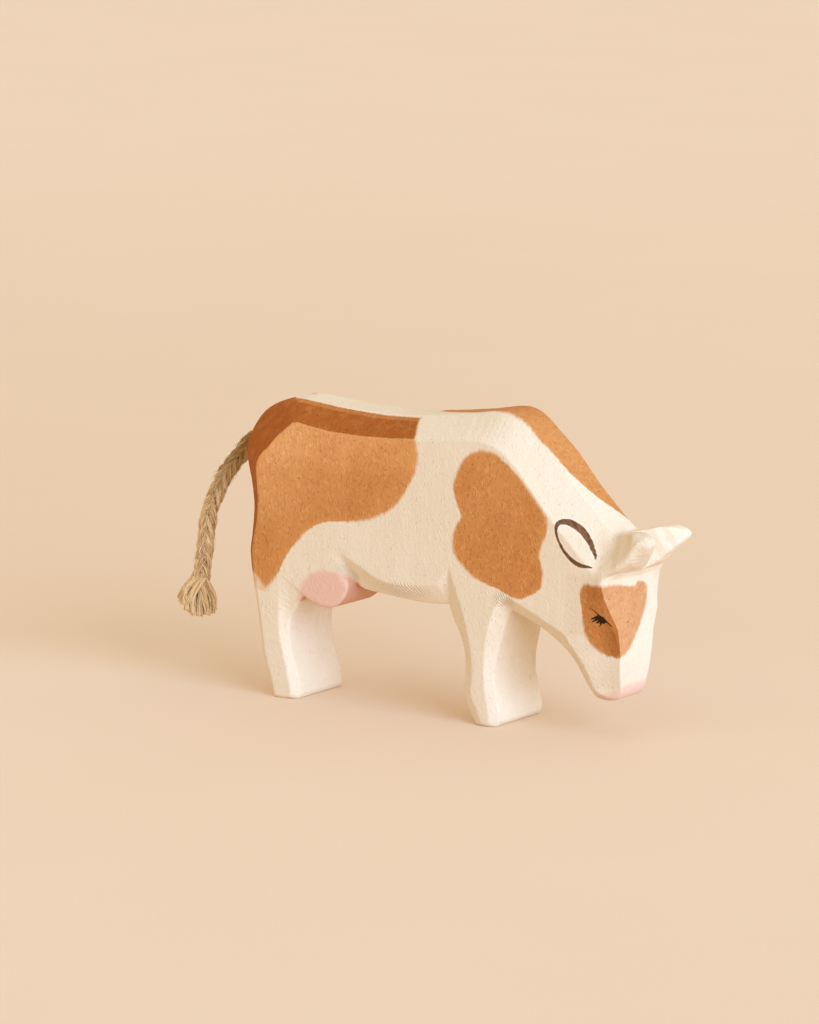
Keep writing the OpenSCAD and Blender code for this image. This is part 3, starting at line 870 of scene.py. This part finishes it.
def stroke_chain(points, widths, parts):
    """The strokes that follow a line of points, each as wide at its ends as the line is there."""
    line = rounded(np.array([(x, z, w) for (x, z), w in zip(points, widths)]), parts)
    return [((a[0], a[1]), (b[0], b[1]), a[2], b[2]) for a, b in zip(line[:-1], line[1:])]


def knife_marks(mixer, x, z, waver):
    """Rows of fine slanted grooves: 1 at the bottom of each groove, below 0 between them."""
    marks = 0.0
    for (across, up), long, wide, spacing in KNIFE_MARKS:
        right = mixer.sum("MULTIPLY_ADD", x, 1 / MM, -across)
        above = mixer.sum("MULTIPLY_ADD", z, 1 / MM, -up)
        phase = mixer.sum("MULTIPLY_ADD", above, MARKS_LEAN, right)
        phase = mixer.sum("MULTIPLY_ADD", waver, MARKS_WAVER, phase)
        groove = mixer.sum("SINE", mixer.product(phase, 2 * math.pi / spacing))
        off = mixer.sum("ADD", mixer.sum("POWER", mixer.product(right, 1 / long), 2.0),
                        mixer.sum("POWER", mixer.product(above, 1 / wide), 2.0))
        marks = mixer.sum("MULTIPLY_ADD", groove, mixer.between(off, *MARKS_END), marks)
    return marks


class BlockPatterns:
    """What the wood, the stain, the ink and the relief share: the block's axes and its noises."""

    def __init__(self, mixer):
        self.x, self.y, self.z = mixer.axes()
        self.drift = mixer.grain((35, 20, 12), 2.0)
        self.lines = mixer.grain((600, 120, 9), 3.0, 0.6)
        self.fibre = mixer.grain((2200, 2200, 170), 3.0, 0.6)
        self.fine = mixer.grain((4200, 4200, 1300), 2.0, 0.6)
        self.cloud = mixer.grain((60, 60, 45), 2.0)
        self.soak = mixer.grain((230, 230, 130), 3.0, 0.6)
        self.pool = mixer.grain((44, 44, 34), 1.5)
        self.brushed = mixer.grain((420, 420, 150), 3.0, 0.6, side_turn(-48))
        self.bristle = mixer.grain((1300, 1300, 330), 2.0, 0.55)
        self.crispness = mixer.grain((70, 70, 70), 1.0)
        self.dry = mixer.grain((700, 700, 3600), 2.0, 0.6, side_turn(-38))
        self.slant = mixer.flecks((940, 940, 400), side_turn(26))
        self.upright = mixer.flecks((1150, 1150, 470), side_turn(-14))
        pits = mixer.grain((1900, 1900, 1000), 0.0, 0.5, side_turn(-20))
        self.pores = mixer.between(pits, *PORE_RANGE)
        self.marks = knife_marks(mixer, self.x, self.z, self.soak)


def late_wood(mixer, at):
    """The dark half of the growth rings, which cross the board and so stand upright on the flanks."""
    ring = mixer.sum("MULTIPLY_ADD", at.y, RING_LEAN, at.x)
    ring = mixer.sum("MULTIPLY_ADD", at.z, RING_CLIMB, ring)
    ring = mixer.sum("MULTIPLY_ADD", at.drift, RING_DRIFT, ring)
    ring = mixer.sum("FRACT", mixer.product(ring, 1 / RING_SPACING))
    late = mixer.product(mixer.between(ring, *RING_RISE), mixer.between(ring, *RING_FALL))
    head = mixer.product(mixer.between(at.x, *HEAD_X), mixer.between(at.z, *HEAD_Z, FLANK_RINGS, HEAD_RINGS))
    return mixer.product(late, mixer.sum("MAXIMUM", head, FLANK_RINGS))


def with_far_horn(mixer, at, wood):
    """The far horn is paler, and growth bands cross it."""
    horn = mixer.product(mixer.between(at.x, *HORN_X), mixer.between(at.z, *HORN_Z),
                         mixer.between(at.y, *HORN_Y))
    wood = mixer.blend(mixer.product(horn, HORN_PALE_SHARE), wood, HORN_PALE)
    forward, up = HORN_BAND_SLANT
    slope = mixer.sum("MULTIPLY_ADD", at.z, up / MM, mixer.product(at.drift, HORN_BAND_WAVER))
    slope = mixer.sum("MULTIPLY_ADD", at.x, forward / MM, slope)
    for middle, half, share in HORN_BANDS:
        off = mixer.sum("ABSOLUTE", mixer.sum("SUBTRACT", slope, middle + HORN_BAND_WAVER / 2))
        band = mixer.between(off, half + HORN_BAND_SOFT, half / 2, 0.0, share)
        wood = mixer.blend(mixer.product(horn, band), wood, LATE_WOOD)
    return wood


def cheek_painted_shade(mixer, at):
    """How much painted shade lies on each point of the near cheek and muzzle: most of it along the
    forehead's ridge.
    """
    forehead = mixer.reading("forehead")
    return mixer.product(mixer.between(forehead, *CHEEK_REACH), mixer.between(forehead, *CHEEK_STOP),
                         mixer.between(at.x, *CHEEK_X), mixer.between(at.z, *CHEEK_Z))


def bare_wood(mixer, at, cheek):
    """Pale wood with its rings, fibres and pores, the knife's marks, and painted shade beside the udder and
    on the near cheek.
    """
    wood = mixer.layer(CREAM, at.cloud, *CLOUD_PALE, PALE_FIBRE)
    wood = mixer.blend(late_wood(mixer, at), wood, LATE_WOOD)
    wood = mixer.layer(wood, at.lines, *LINES_DARK, LATE_WOOD)
    wood = mixer.layer(wood, at.fibre, *FIBRES_DARK, LATE_WOOD)
    wood = mixer.layer(wood, at.fibre, *FIBRES_PALE, PALE_FIBRE)
    wood = mixer.blend(mixer.product(at.slant, FLECKS_PALE), wood, PALE_FIBRE)
    wood = mixer.blend(mixer.product(at.pores, PORES_DARK), wood, LATE_WOOD)
    wood = with_far_horn(mixer, at, wood)
    wood = mixer.blend(mixer.sum("MULTIPLY", at.marks, MARKS_DARK, clamp=True), wood, LATE_WOOD)
    # Painted shade on the step beside the udder
    wood = mixer.blend(mixer.reading("step"), wood, SHADED, "MULTIPLY")
    # Painted shade on the near cheek and muzzle
    return mixer.blend(mixer.product(cheek, CHEEK_ON_WOOD), wood, CHEEK_PAINTED_SHADE, "MULTIPLY")


def with_second_coat(mixer, at, stain):
    """The back was stained twice, and the second coat has a light line along its edge."""
    deep = mixer.shaken(mixer.reading("second_coat"), at.soak, COAT_RAGGED)
    coat = mixer.layer(SECOND_COAT, at.brushed, *COAT_STREAKS, STAIN_DEEP)
    laid = mixer.product(mixer.between(deep, *COAT_EDGE), mixer.between(mixer.reading("rim"), *COAT_RIM))
    stain = mixer.blend(laid, stain, coat)
    line = mixer.product(mixer.between(deep, *COAT_LINE_OUT), mixer.between(deep, *COAT_LINE_IN),
                         mixer.between(at.z, *COAT_LINE_Z, *COAT_LINE_SHARE))
    return mixer.blend(line, stain, LIGHTER, "MULTIPLY")


def stain_tone(mixer, at, cheek):
    """Stain soaks in unevenly, and leaves the pores dark and the raised strokes light."""
    stain = mixer.blend(mixer.between(at.soak, *SOAKED_DEEP), STAIN, STAIN_DEEP)
    stain = mixer.layer(stain, at.pool, *POOLS_THIN, STAIN_THIN)
    stain = mixer.layer(stain, mixer.reading("stained"), *EDGE_THIN, STAIN_THIN)
    worn = mixer.product(mixer.between(at.x, *RUMP_X), mixer.between(at.z, *RUMP_Z), RUMP_THIN)
    stain = mixer.blend(worn, stain, STAIN_THIN)
    stain = mixer.layer(stain, mixer.reading("forehead"), *FOREHEAD_PEACH, PEACH)
    # Painted shade on the near cheek, over the stain
    stain = mixer.blend(cheek, stain, CHEEK_PAINTED_SHADE, "MULTIPLY")
    stain = with_second_coat(mixer, at, stain)
    stain = mixer.layer(stain, at.fibre, *FIBRES_LIGHTER, LIGHTER, "MULTIPLY")
    stain = mixer.blend(mixer.product(at.slant, FLECKS_LIGHTER), stain, LIGHTER, "MULTIPLY")
    stain = mixer.blend(mixer.product(at.upright, UPRIGHT_DARKER), stain, DARKER, "MULTIPLY")
    return mixer.blend(mixer.product(at.pores, PORES_IN_STAIN), stain, PORE, "MULTIPLY")


def with_stain(mixer, at, wood, stain):
    """The brush left a soft edge in places, the marks of its bristles in others, and a thin wash."""
    wash = mixer.product(mixer.between(mixer.reading("wash"), *WASH_EDGE),
                         mixer.between(at.brushed, *WASH_STREAKS))
    wood = mixer.blend(wash, wood, STAIN_THIN)
    edge = mixer.shaken(mixer.reading("stained"), at.bristle, STAIN_RAGGED)
    edge = mixer.sum("DIVIDE", edge, mixer.between(at.crispness, *STAIN_CRISPNESS))
    return mixer.layer(wood, edge, *STAIN_EDGE, stain)


def with_pink(mixer, at, colour):
    """The udder and the muzzle are pink, with edges that bled into the wood, and painted shade on the
    udder's front.
    """
    # Painted shade on the udder's front, where it turns away from the side
    rose = mixer.blend(mixer.between(at.y, *UDDER_SHADE_Y), UDDER, UDDER_PAINTED_SHADE)
    udder = mixer.shaken(mixer.reading("udder"), at.soak, UDDER_RAGGED)
    colour = mixer.layer(colour, udder, *UDDER_EDGE, rose)
    muzzle = mixer.shaken(mixer.reading("muzzle"), at.soak, MUZZLE_RAGGED)
    return mixer.layer(colour, muzzle, *MUZZLE_EDGE, NOSE)


def with_ink(mixer, at, colour):
    """The ears are two brush strokes on each side, and the eye is a lowered lid with lashes."""
    side = {"X": mixer.product(at.x, 1 / MM), "Z": mixer.product(at.z, 1 / MM)}
    place = mixer.add("CombineXYZ", (), side).outputs[0]
    group = stroke_group()
    on_side = mixer.between(mixer.sum("ABSOLUTE", at.y), *SIDE_Y)
    ears = (stroke_chain(EAR_UPPER, EAR_UPPER_WIDTH, EAR_PARTS)
            + stroke_chain(EAR_LOWER, EAR_LOWER_WIDTH, EAR_PARTS))
    ear = strokes(mixer, group, place, ears)
    colour = mixer.blend(mixer.product(mixer.between(ear, *EAR_HALO), on_side), colour, PALE_FIBRE)
    brown = mixer.layer(EAR_INK, at.dry, *EAR_DRY, EAR_INK_DRY)
    inked = mixer.between(mixer.shaken(ear, at.dry, EAR_RAGGED), *EAR_EDGE)
    colour = mixer.blend(mixer.product(inked, on_side), colour, brown)
    eye = strokes(mixer, group, place, stroke_chain(LASH_LINE, LASH_LINE_WIDTH, LASH_PARTS) + LASHES)
    inked = mixer.between(eye, *EYE_EDGE)
    return mixer.blend(mixer.product(inked, on_side), colour, EYE_INK)


def wood_relief(mixer, at):
    """Fibres that rose when the stain wet them, and the knife's own grooves."""
    wetted = mixer.between(mixer.reading("stained"), *WETTED)
    height = mixer.sum("MULTIPLY_ADD", at.fibre, FIBRE_HEIGHT, mixer.product(at.fine, FINE_HEIGHT))
    height = mixer.sum("MULTIPLY_ADD", at.slant, mixer.product(wetted, SLANT_HEIGHT), height)
    height = mixer.sum("MULTIPLY_ADD", at.upright, mixer.product(wetted, UPRIGHT_HEIGHT), height)
    height = mixer.sum("MULTIPLY_ADD", at.pores, PORE_HEIGHT, height)
    return mixer.sum("MULTIPLY_ADD", at.marks, MARK_HEIGHT, height)


def painted_wood():
    """The whole block's material: bare wood, stain, pink and ink over one another."""
    material, mixer, shader = new_material("painted carved wood")
    at = BlockPatterns(mixer)
    cheek = cheek_painted_shade(mixer, at)
    wood = bare_wood(mixer, at, cheek)
    colour = with_stain(mixer, at, wood, stain_tone(mixer, at, cheek))
    colour = with_ink(mixer, at, with_pink(mixer, at, colour))
    mixer.give(shader.inputs["Base Color"], colour)
    mixer.give(shader.inputs["Roughness"], mixer.between(at.soak, *WOOD_ROUGHNESS))
    shader.inputs["Specular IOR Level"].default_value = WOOD_GLOSS
    raised(mixer, shader, wood_relief(mixer, at), WOOD_RELIEF)
    return material


def make_block():
    """The carved and painted block, in place of the CAD one."""
    mesh = carved_block()
    mesh.name = "carved_cow"
    painted(mesh)
    mesh.materials.clear()
    mesh.materials.append(painted_wood())
    mesh.polygons.foreach_set("use_smooth", np.ones(len(mesh.polygons), bool))
    cow = bpy.data.objects.new("carved_cow", mesh)
    scene.collection.objects.link(cow)
    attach(cow, "body")
    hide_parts("cow_body")


# The plaited tail

ROUTE_PARTS = 6
PLAIT_STEP = 0.62
PLAIT_STRANDS = 6
PLAIT_PITCH = 18.5
PLAIT_SWING = 1.82
PLAIT_DEPTH = 0.55
PLAIT_OFFSET = 0.24
PLAIT_TURN = math.radians(32)
SQUEEZE_IN_HOLE = 0.92
SQUEEZE_REACH = 1.0
STRAND_CORE = 0.40
STRAND_FLATNESS = 0.8
FIBRES_PER_STRAND = 15
FIBRE_RING = 0.56
FIBRE_TWIST = 34
FIBRE_WIDTH = 0.135
FIBRE_WIDTHS = (0.7, 1.25)
TUBE_ROUNDNESS = 0

# How a strand and its fibres wander: the number of bends along the cord, and their size
STRAND_SHIFT = (12, 0.2)
STRAND_SPREAD = (14, 0.09)
FIBRE_TURN = (16, 0.45)
FIBRE_LIFT = (26, 0.34)
FIBRE_SWELL = (22, 0.35)

STRAY_HAIRS = 560
HAIR_POINTS = 7
HAIR_FROM = 2.5
HAIR_WIDTHS = (0.035, 0.075)
HAIR_TAPER = (1.0, 0.5)
HAIR_WAYS = (-1, 1, 1)
HAIR_RUNS = (1.2, 3.4)
HAIR_BEND = 0.5
HAIR_RETURN = 0.6
LYING_SHARE = 0.85
LYING_LIFT = (0.2, 0.8)
STANDING_LIFT = (0.9, 2.2)
CORD_HALF_FLAT = 2.2
CORD_HALF_DEEP = 1.1


def tubes(name, lines):
    """One mesh of round tubes, each along its own points and with its own thickness at each."""
    curve = bpy.data.curves.new(name, "CURVE")
    curve.dimensions = "3D"
    curve.bevel_depth = 1.0
    curve.bevel_resolution = TUBE_ROUNDNESS
    curve.use_fill_caps = True
    for points, widths in lines:
        spline = curve.splines.new("POLY")
        spline.points.add(len(points) - 1)
        spline.points.foreach_set("co", np.column_stack([points * MM, np.ones(len(points))]).ravel())
        spline.points.foreach_set("radius", np.asarray(widths, float) * MM)
    holder = bpy.data.objects.new(name, curve)
    scene.collection.objects.link(holder)
    graph = bpy.context.evaluated_depsgraph_get()
    mesh = bpy.data.meshes.new_from_object(holder.evaluated_get(graph), depsgraph=graph)
    bpy.data.objects.remove(holder)
    mesh.name = name
    mesh.polygons.foreach_set("use_smooth", np.ones(len(mesh.polygons), bool))
    piece = bpy.data.objects.new(name, mesh)
    scene.collection.objects.link(piece)
    return piece


def wander(count, bends, size, chance):
    """A slow random drift with a number of bends along the line."""
    knots = [chance.uniform(-1, 1) for _ in range(bends + 4)]
    t = np.linspace(0, bends, count)
    return np.interp(t, np.arange(len(knots)), knots) * size


def plait_frame():
    """The cord's middle line, and at each point its direction and the plait's flat and deep sides."""
    line, heading, reach = even_steps(rounded(cord_route(), ROUTE_PARTS), PLAIT_STEP)
    edgewise = np.cross(heading, np.array((0.0, 1.0, 0.0)))
    edgewise /= np.linalg.norm(edgewise, axis=1)[:, None]
    facing = np.cross(heading, edgewise)
    flat = edgewise * math.cos(PLAIT_TURN) - facing * math.sin(PLAIT_TURN)
    deep = facing * math.cos(PLAIT_TURN) + edgewise * math.sin(PLAIT_TURN)
    return line, heading, flat, deep, reach


def strand_fibres(middle, deep, reach, squeeze, chance):
    """The fibres that lie round one strand of the plait."""
    count = len(middle)
    way = np.gradient(middle, axis=0)
    way /= np.linalg.norm(way, axis=1)[:, None]
    right = np.cross(way, deep)
    right /= np.linalg.norm(right, axis=1)[:, None]
    up = np.cross(right, way)
    lines = []
    for fibre in range(FIBRES_PER_STRAND):
        turn = 2 * math.pi * (fibre / FIBRES_PER_STRAND + reach / FIBRE_TWIST)
        turn = turn + wander(count, *FIBRE_TURN, chance)
        ring = FIBRE_RING * squeeze * (1 + wander(count, *FIBRE_LIFT, chance))
        path = (middle + right * (ring * np.cos(turn))[:, None]
                + up * (STRAND_FLATNESS * ring * np.sin(turn))[:, None])
        width = FIBRE_WIDTH * (1 + wander(count, *FIBRE_SWELL, chance)) * chance.uniform(*FIBRE_WIDTHS)
        lines.append((path, width))
    return lines


def plait_fibres(guide, chance):
    """The strands' cores and the fibres round them."""
    line, _, flat, deep, reach = guide
    count = len(line)
    squeeze = np.where(reach < GLUED_LENGTH + SQUEEZE_REACH, SQUEEZE_IN_HOLE, 1.0)
    lines = []
    for strand in range(PLAIT_STRANDS):
        phase = 2 * math.pi * (reach / PLAIT_PITCH + strand / PLAIT_STRANDS)
        phase = phase + wander(count, *STRAND_SHIFT, chance)
        swing = PLAIT_SWING * squeeze * (1 + wander(count, *STRAND_SPREAD, chance))
        depth = PLAIT_DEPTH * np.sin(2 * phase) + PLAIT_OFFSET * np.cos(phase)
        middle = line + flat * (swing * np.sin(phase))[:, None] + deep * (depth * squeeze)[:, None]
        lines.append((middle, np.full(count, STRAND_CORE) * squeeze))
        lines += strand_fibres(middle, deep, reach, squeeze, chance)
    return lines


def stray_hairs(guide, chance):
    """Fine hairs that lie along the plait and lift off it a little."""
    line, heading, flat, deep, reach = guide
    first = int(np.searchsorted(reach, GLUED_LENGTH + HAIR_FROM))
    lines = []
    t = np.linspace(0, 1, HAIR_POINTS)[:, None]
    for _ in range(STRAY_HAIRS):
        i = chance.randrange(first, len(line) - 3)
        turn = chance.uniform(0, 2 * math.pi)
        outward = flat[i] * math.cos(turn) + deep[i] * math.sin(turn)
        root = (line[i] + flat[i] * math.cos(turn) * CORD_HALF_FLAT
                + deep[i] * math.sin(turn) * CORD_HALF_DEEP)
        lift = chance.uniform(*(LYING_LIFT if chance.random() < LYING_SHARE else STANDING_LIFT))
        run = heading[i] * chance.choice(HAIR_WAYS) * chance.uniform(*HAIR_RUNS) + outward * lift
        bend = flat[i] * chance.uniform(-1, 1) + deep[i] * chance.uniform(-1, 1)
        bend = bend * HAIR_BEND - outward * lift * HAIR_RETURN
        width = chance.uniform(*HAIR_WIDTHS)
        lines.append((root + run * t + bend * t * t, width * np.linspace(*HAIR_TAPER, HAIR_POINTS)))
    return lines


TUFT_POINTS = 11
TUFT_FIBRES = 820
TUFT_WIDTHS = (0.09, 0.17)
TUFT_TAPER = (1.0, 0.9)
TUFT_START = -1.5
TUFT_TURN = 1.5
TUFT_BEND = (4, 0.3)
TUFT_STRAIGHT_SHARE = 0.35
LOCK_ROOT_SHIFT = 0.3
LOCK_ROOT_SHARES = (0.2, 0.3)
LOCK_ROOT_SPREADS = (1.15, 0.8)
LOCK_CURL = 0.25
LOCK_SPREAD = 0.95
LOCK_LENGTHS = (0.92, 1.0)
# Each lock: where it ends across and in depth, its length, and how far it bows out on the way
TUFT_LOCKS = [
    (6.3, -0.4, 7.2, 0.9), (5.6, 1.1, 8.2, 1.3), (4.9, -1.6, 9.0, 1.6), (4.0, 1.9, 9.8, 1.7),
    (3.3, 0.3, 10.5, 1.7), (2.7, -2.3, 10.3, 1.2), (2.2, 2.3, 10.8, 0.8), (1.1, -0.6, 10.8, 0.2),
    (0.5, 1.8, 10.7, -0.2), (-0.5, -2.2, 10.2, 0.5), (-1.0, 0.7, 10.2, -0.4), (-1.9, 2.0, 10.0, 0.3),
    (-2.3, -1.2, 9.6, -1.0), (-2.9, 0.6, 9.7, -0.9), (-3.3, -0.4, 9.0, -1.3),
]

# The locks that lie over the others: where they start and end across, their bow, depth and length
TUFT_OVER = [
    (-0.6, 4.6, 0.9, 2.5, 9.2), (-1.2, 2.6, 1.5, 2.9, 10.0), (0.9, -2.0, -0.6, 2.6, 9.6),
    (0.6, 5.6, 1.6, 1.5, 8.4),
]
OVER_FIBRES = 34
OVER_SPREAD = 0.55
OVER_START = -0.8
OVER_CURL = 2.5
OVER_DEPTH = 1.0
OVER_RISE = 1.6
OVER_LENGTHS = (0.9, 1.0)
OVER_BEND = (3, 0.15)
OVER_WIDTHS = (0.1, 0.16)

WISPS = 60
WISP_START_SHARE = 0.5
WISP_ENDS = (-0.5, 0.9)
WISP_SPREAD = (0.8, 1.1)
WISP_SIDE_BEND = (3, 1.0)
WISP_DEPTH_BEND = (3, 0.8)
WISP_WIDTHS = (0.05, 0.025)


def lock_fibre(number, t, chance):
    """One fibre of the brush's locks: how far it runs down, to the side and in depth."""
    across, depth, length, bow = TUFT_LOCKS[number % len(TUFT_LOCKS)]
    turn = chance.uniform(0, 2 * math.pi)
    spread = math.sqrt(chance.random())
    start_side = (across * LOCK_ROOT_SHARES[0] + LOCK_ROOT_SHIFT
                  + math.cos(turn) * spread * LOCK_ROOT_SPREADS[0])
    start_depth = depth * LOCK_ROOT_SHARES[1] + math.sin(turn) * spread * LOCK_ROOT_SPREADS[1]
    twist = turn + TUFT_TURN + LOCK_CURL * across
    end_side = across + math.cos(twist) * spread * LOCK_SPREAD
    end_depth = depth + math.sin(twist) * spread * LOCK_SPREAD
    opened = TUFT_STRAIGHT_SHARE * t + (1 - TUFT_STRAIGHT_SHARE) * t * t * (3 - 2 * t)
    side = start_side + (end_side - start_side) * opened + bow * np.sin(math.pi * t) ** 2
    side = side + wander(TUFT_POINTS, *TUFT_BEND, chance)
    depths = start_depth + (end_depth - start_depth) * opened + wander(TUFT_POINTS, *TUFT_BEND, chance)
    run = TUFT_START + (length * chance.uniform(*LOCK_LENGTHS) - TUFT_START) * t
    width = chance.uniform(*TUFT_WIDTHS)
    return run, side, depths, width * np.linspace(*TUFT_TAPER, TUFT_POINTS)


def over_fibre(lock, t, chance):
    """One fibre of a lock that lies over the others."""
    start_side, across, bow, depth, length = lock
    turn = chance.uniform(0, 2 * math.pi)
    spread = math.sqrt(chance.random()) * OVER_SPREAD
    side = (start_side + (across - start_side) * t + bow * np.sin(math.pi * t)
            + np.cos(turn + OVER_CURL * t) * spread + wander(TUFT_POINTS, *OVER_BEND, chance))
    rise = np.sin(0.5 * math.pi * np.minimum(1, t * OVER_RISE))
    depths = OVER_DEPTH + (depth - OVER_DEPTH) * rise + math.sin(turn) * spread
    run = OVER_START + (length * chance.uniform(*OVER_LENGTHS) - OVER_START) * t
    return run, side, depths, np.full(TUFT_POINTS, chance.uniform(*OVER_WIDTHS))


def wisp(t, chance):
    """One loose hair round the brush."""
    across, depth, length, _ = chance.choice(TUFT_LOCKS)
    run = np.linspace(length * WISP_START_SHARE, length + chance.uniform(*WISP_ENDS), TUFT_POINTS)
    side = across * np.linspace(*WISP_SPREAD, TUFT_POINTS) + wander(TUFT_POINTS, *WISP_SIDE_BEND, chance)
    depths = depth + wander(TUFT_POINTS, *WISP_DEPTH_BEND, chance)
    return run, side, depths, np.linspace(*WISP_WIDTHS, TUFT_POINTS)


def tuft_fibres(guide, chance):
    """The opened end: locks of cut fibres that curl over one another, most of them to the left."""
    line, _, flat, deep, _ = guide
    down = np.array((0.0, 0.0, -1.0))
    left = -flat[-1] if flat[-1][0] > 0 else flat[-1]
    near = deep[-1] if deep[-1][1] < 0 else -deep[-1]
    t = np.linspace(0, 1, TUFT_POINTS)
    fibres = [lock_fibre(number, t, chance) for number in range(TUFT_FIBRES)]
    fibres += [over_fibre(lock, t, chance) for lock in TUFT_OVER for _ in range(OVER_FIBRES)]
    fibres += [wisp(t, chance) for _ in range(WISPS)]
    return [(line[-1] + down * run[:, None] + left * side[:, None] + near * depths[:, None], widths)
            for run, side, depths, widths in fibres]


FIBRE_BROWN = (0.62, 0.345, 0.12, 1)
FIBRE_STRAW = (1.0, 0.79, 0.45, 1)
FIBRE_STREAK = (0.45, 0.25, 0.09, 1)
FIBRE_BLOTCH = (1.0, 0.76, 0.45, 1)
FIBRE_ROOT_DIRT_AND_SHADE = (0.62, 0.55, 0.37, 1)
ROOT_Z = (50 * MM, 68 * MM)
FIBRE_RELIEF = 0.08 * MM
FIBRE_ROUGHNESS = 0.75
FIBRE_GLOSS = 0.25
FIBRE_SHEEN = 0.2
STREAKS = ((1500, 1500, 420), 4.0, 0.7)
STREAK_RANGE = (0.4, 0.72, 0.3)
BLOTCHES = ((180, 180, 120), 2.0)
BLOTCH_RANGE = (0.45, 0.75, 0.3)
GLUE_DARK = (0.62, 0.36, 0.13, 1)
GLUE_CLEAR = (0.76, 0.52, 0.25, 1)
GLUE_RELIEF = 0.05 * MM
GLUE_ROUGHNESS = 0.3
GLUE_CLOUD = ((700, 700, 700), 2.0)
GLUE_RANGE = (0.35, 0.7, 1.0)


def natural_fibre():
    """Straw to brown from one fibre to the next, and darker up by the hole, partly dirt and partly painted
    shade under the rump.
    """
    material, mixer, shader = new_material("plaited plant fibre")
    each = mixer.add("NewGeometry").outputs["Random Per Island"]
    streak = mixer.grain(*STREAKS)
    blotch = mixer.grain(*BLOTCHES)
    height = mixer.axes()["Z"]
    colour = mixer.layer(FIBRE_BROWN, each, 0.0, 1.0, 1.0, FIBRE_STRAW)
    colour = mixer.layer(colour, streak, *STREAK_RANGE, FIBRE_STREAK)
    colour = mixer.layer(colour, blotch, *BLOTCH_RANGE, FIBRE_BLOTCH)
    # Dirt and painted shade under the rump darken the cord up by the hole
    colour = mixer.layer(colour, height, *ROOT_Z, 1.0, FIBRE_ROOT_DIRT_AND_SHADE, "MULTIPLY")
    mixer.give(shader.inputs["Base Color"], colour)
    shader.inputs["Roughness"].default_value = FIBRE_ROUGHNESS
    shader.inputs["Specular IOR Level"].default_value = FIBRE_GLOSS
    shader.inputs["Sheen Weight"].default_value = FIBRE_SHEEN
    raised(mixer, shader, streak, FIBRE_RELIEF)
    return material


def cured_glue():
    """Amber glue, clearer in places."""
    material, mixer, shader = new_material("cured wood glue")
    cloud = mixer.grain(*GLUE_CLOUD)
    mixer.give(shader.inputs["Base Color"], mixer.layer(GLUE_DARK, cloud, *GLUE_RANGE, GLUE_CLEAR))
    shader.inputs["Roughness"].default_value = GLUE_ROUGHNESS
    raised(mixer, shader, cloud, GLUE_RELIEF)
    return material


def make_tail():
    """The cord, its brush and the glue."""
    chance = random.Random(SEED)
    fibre = natural_fibre()
    guide = plait_frame()
    cord = tubes("plaited_tail", plait_fibres(guide, chance) + stray_hairs(guide, chance))
    tuft = tubes("tail_brush", tuft_fibres(guide, chance))
    for piece in (cord, tuft):
        piece.data.materials.clear()
        piece.data.materials.append(fibre)
    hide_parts("tail_cord", "tail_root")
    route = cord_route() * MM
    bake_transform(cord)
    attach(tuft, "tail")
    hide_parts("tail_tuft")
    length = float(np.linalg.norm(np.diff(route, axis=0), axis=1).sum())
    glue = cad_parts["tail_glue"]
    glue.data.materials.clear()
    glue.data.materials.append(cured_glue())


set_camera()
make_tail()
lay_paper()
set_key_light()
set_studio()
make_block()

scene.view_settings.view_transform = "Standard"
scene.view_settings.look = "None"
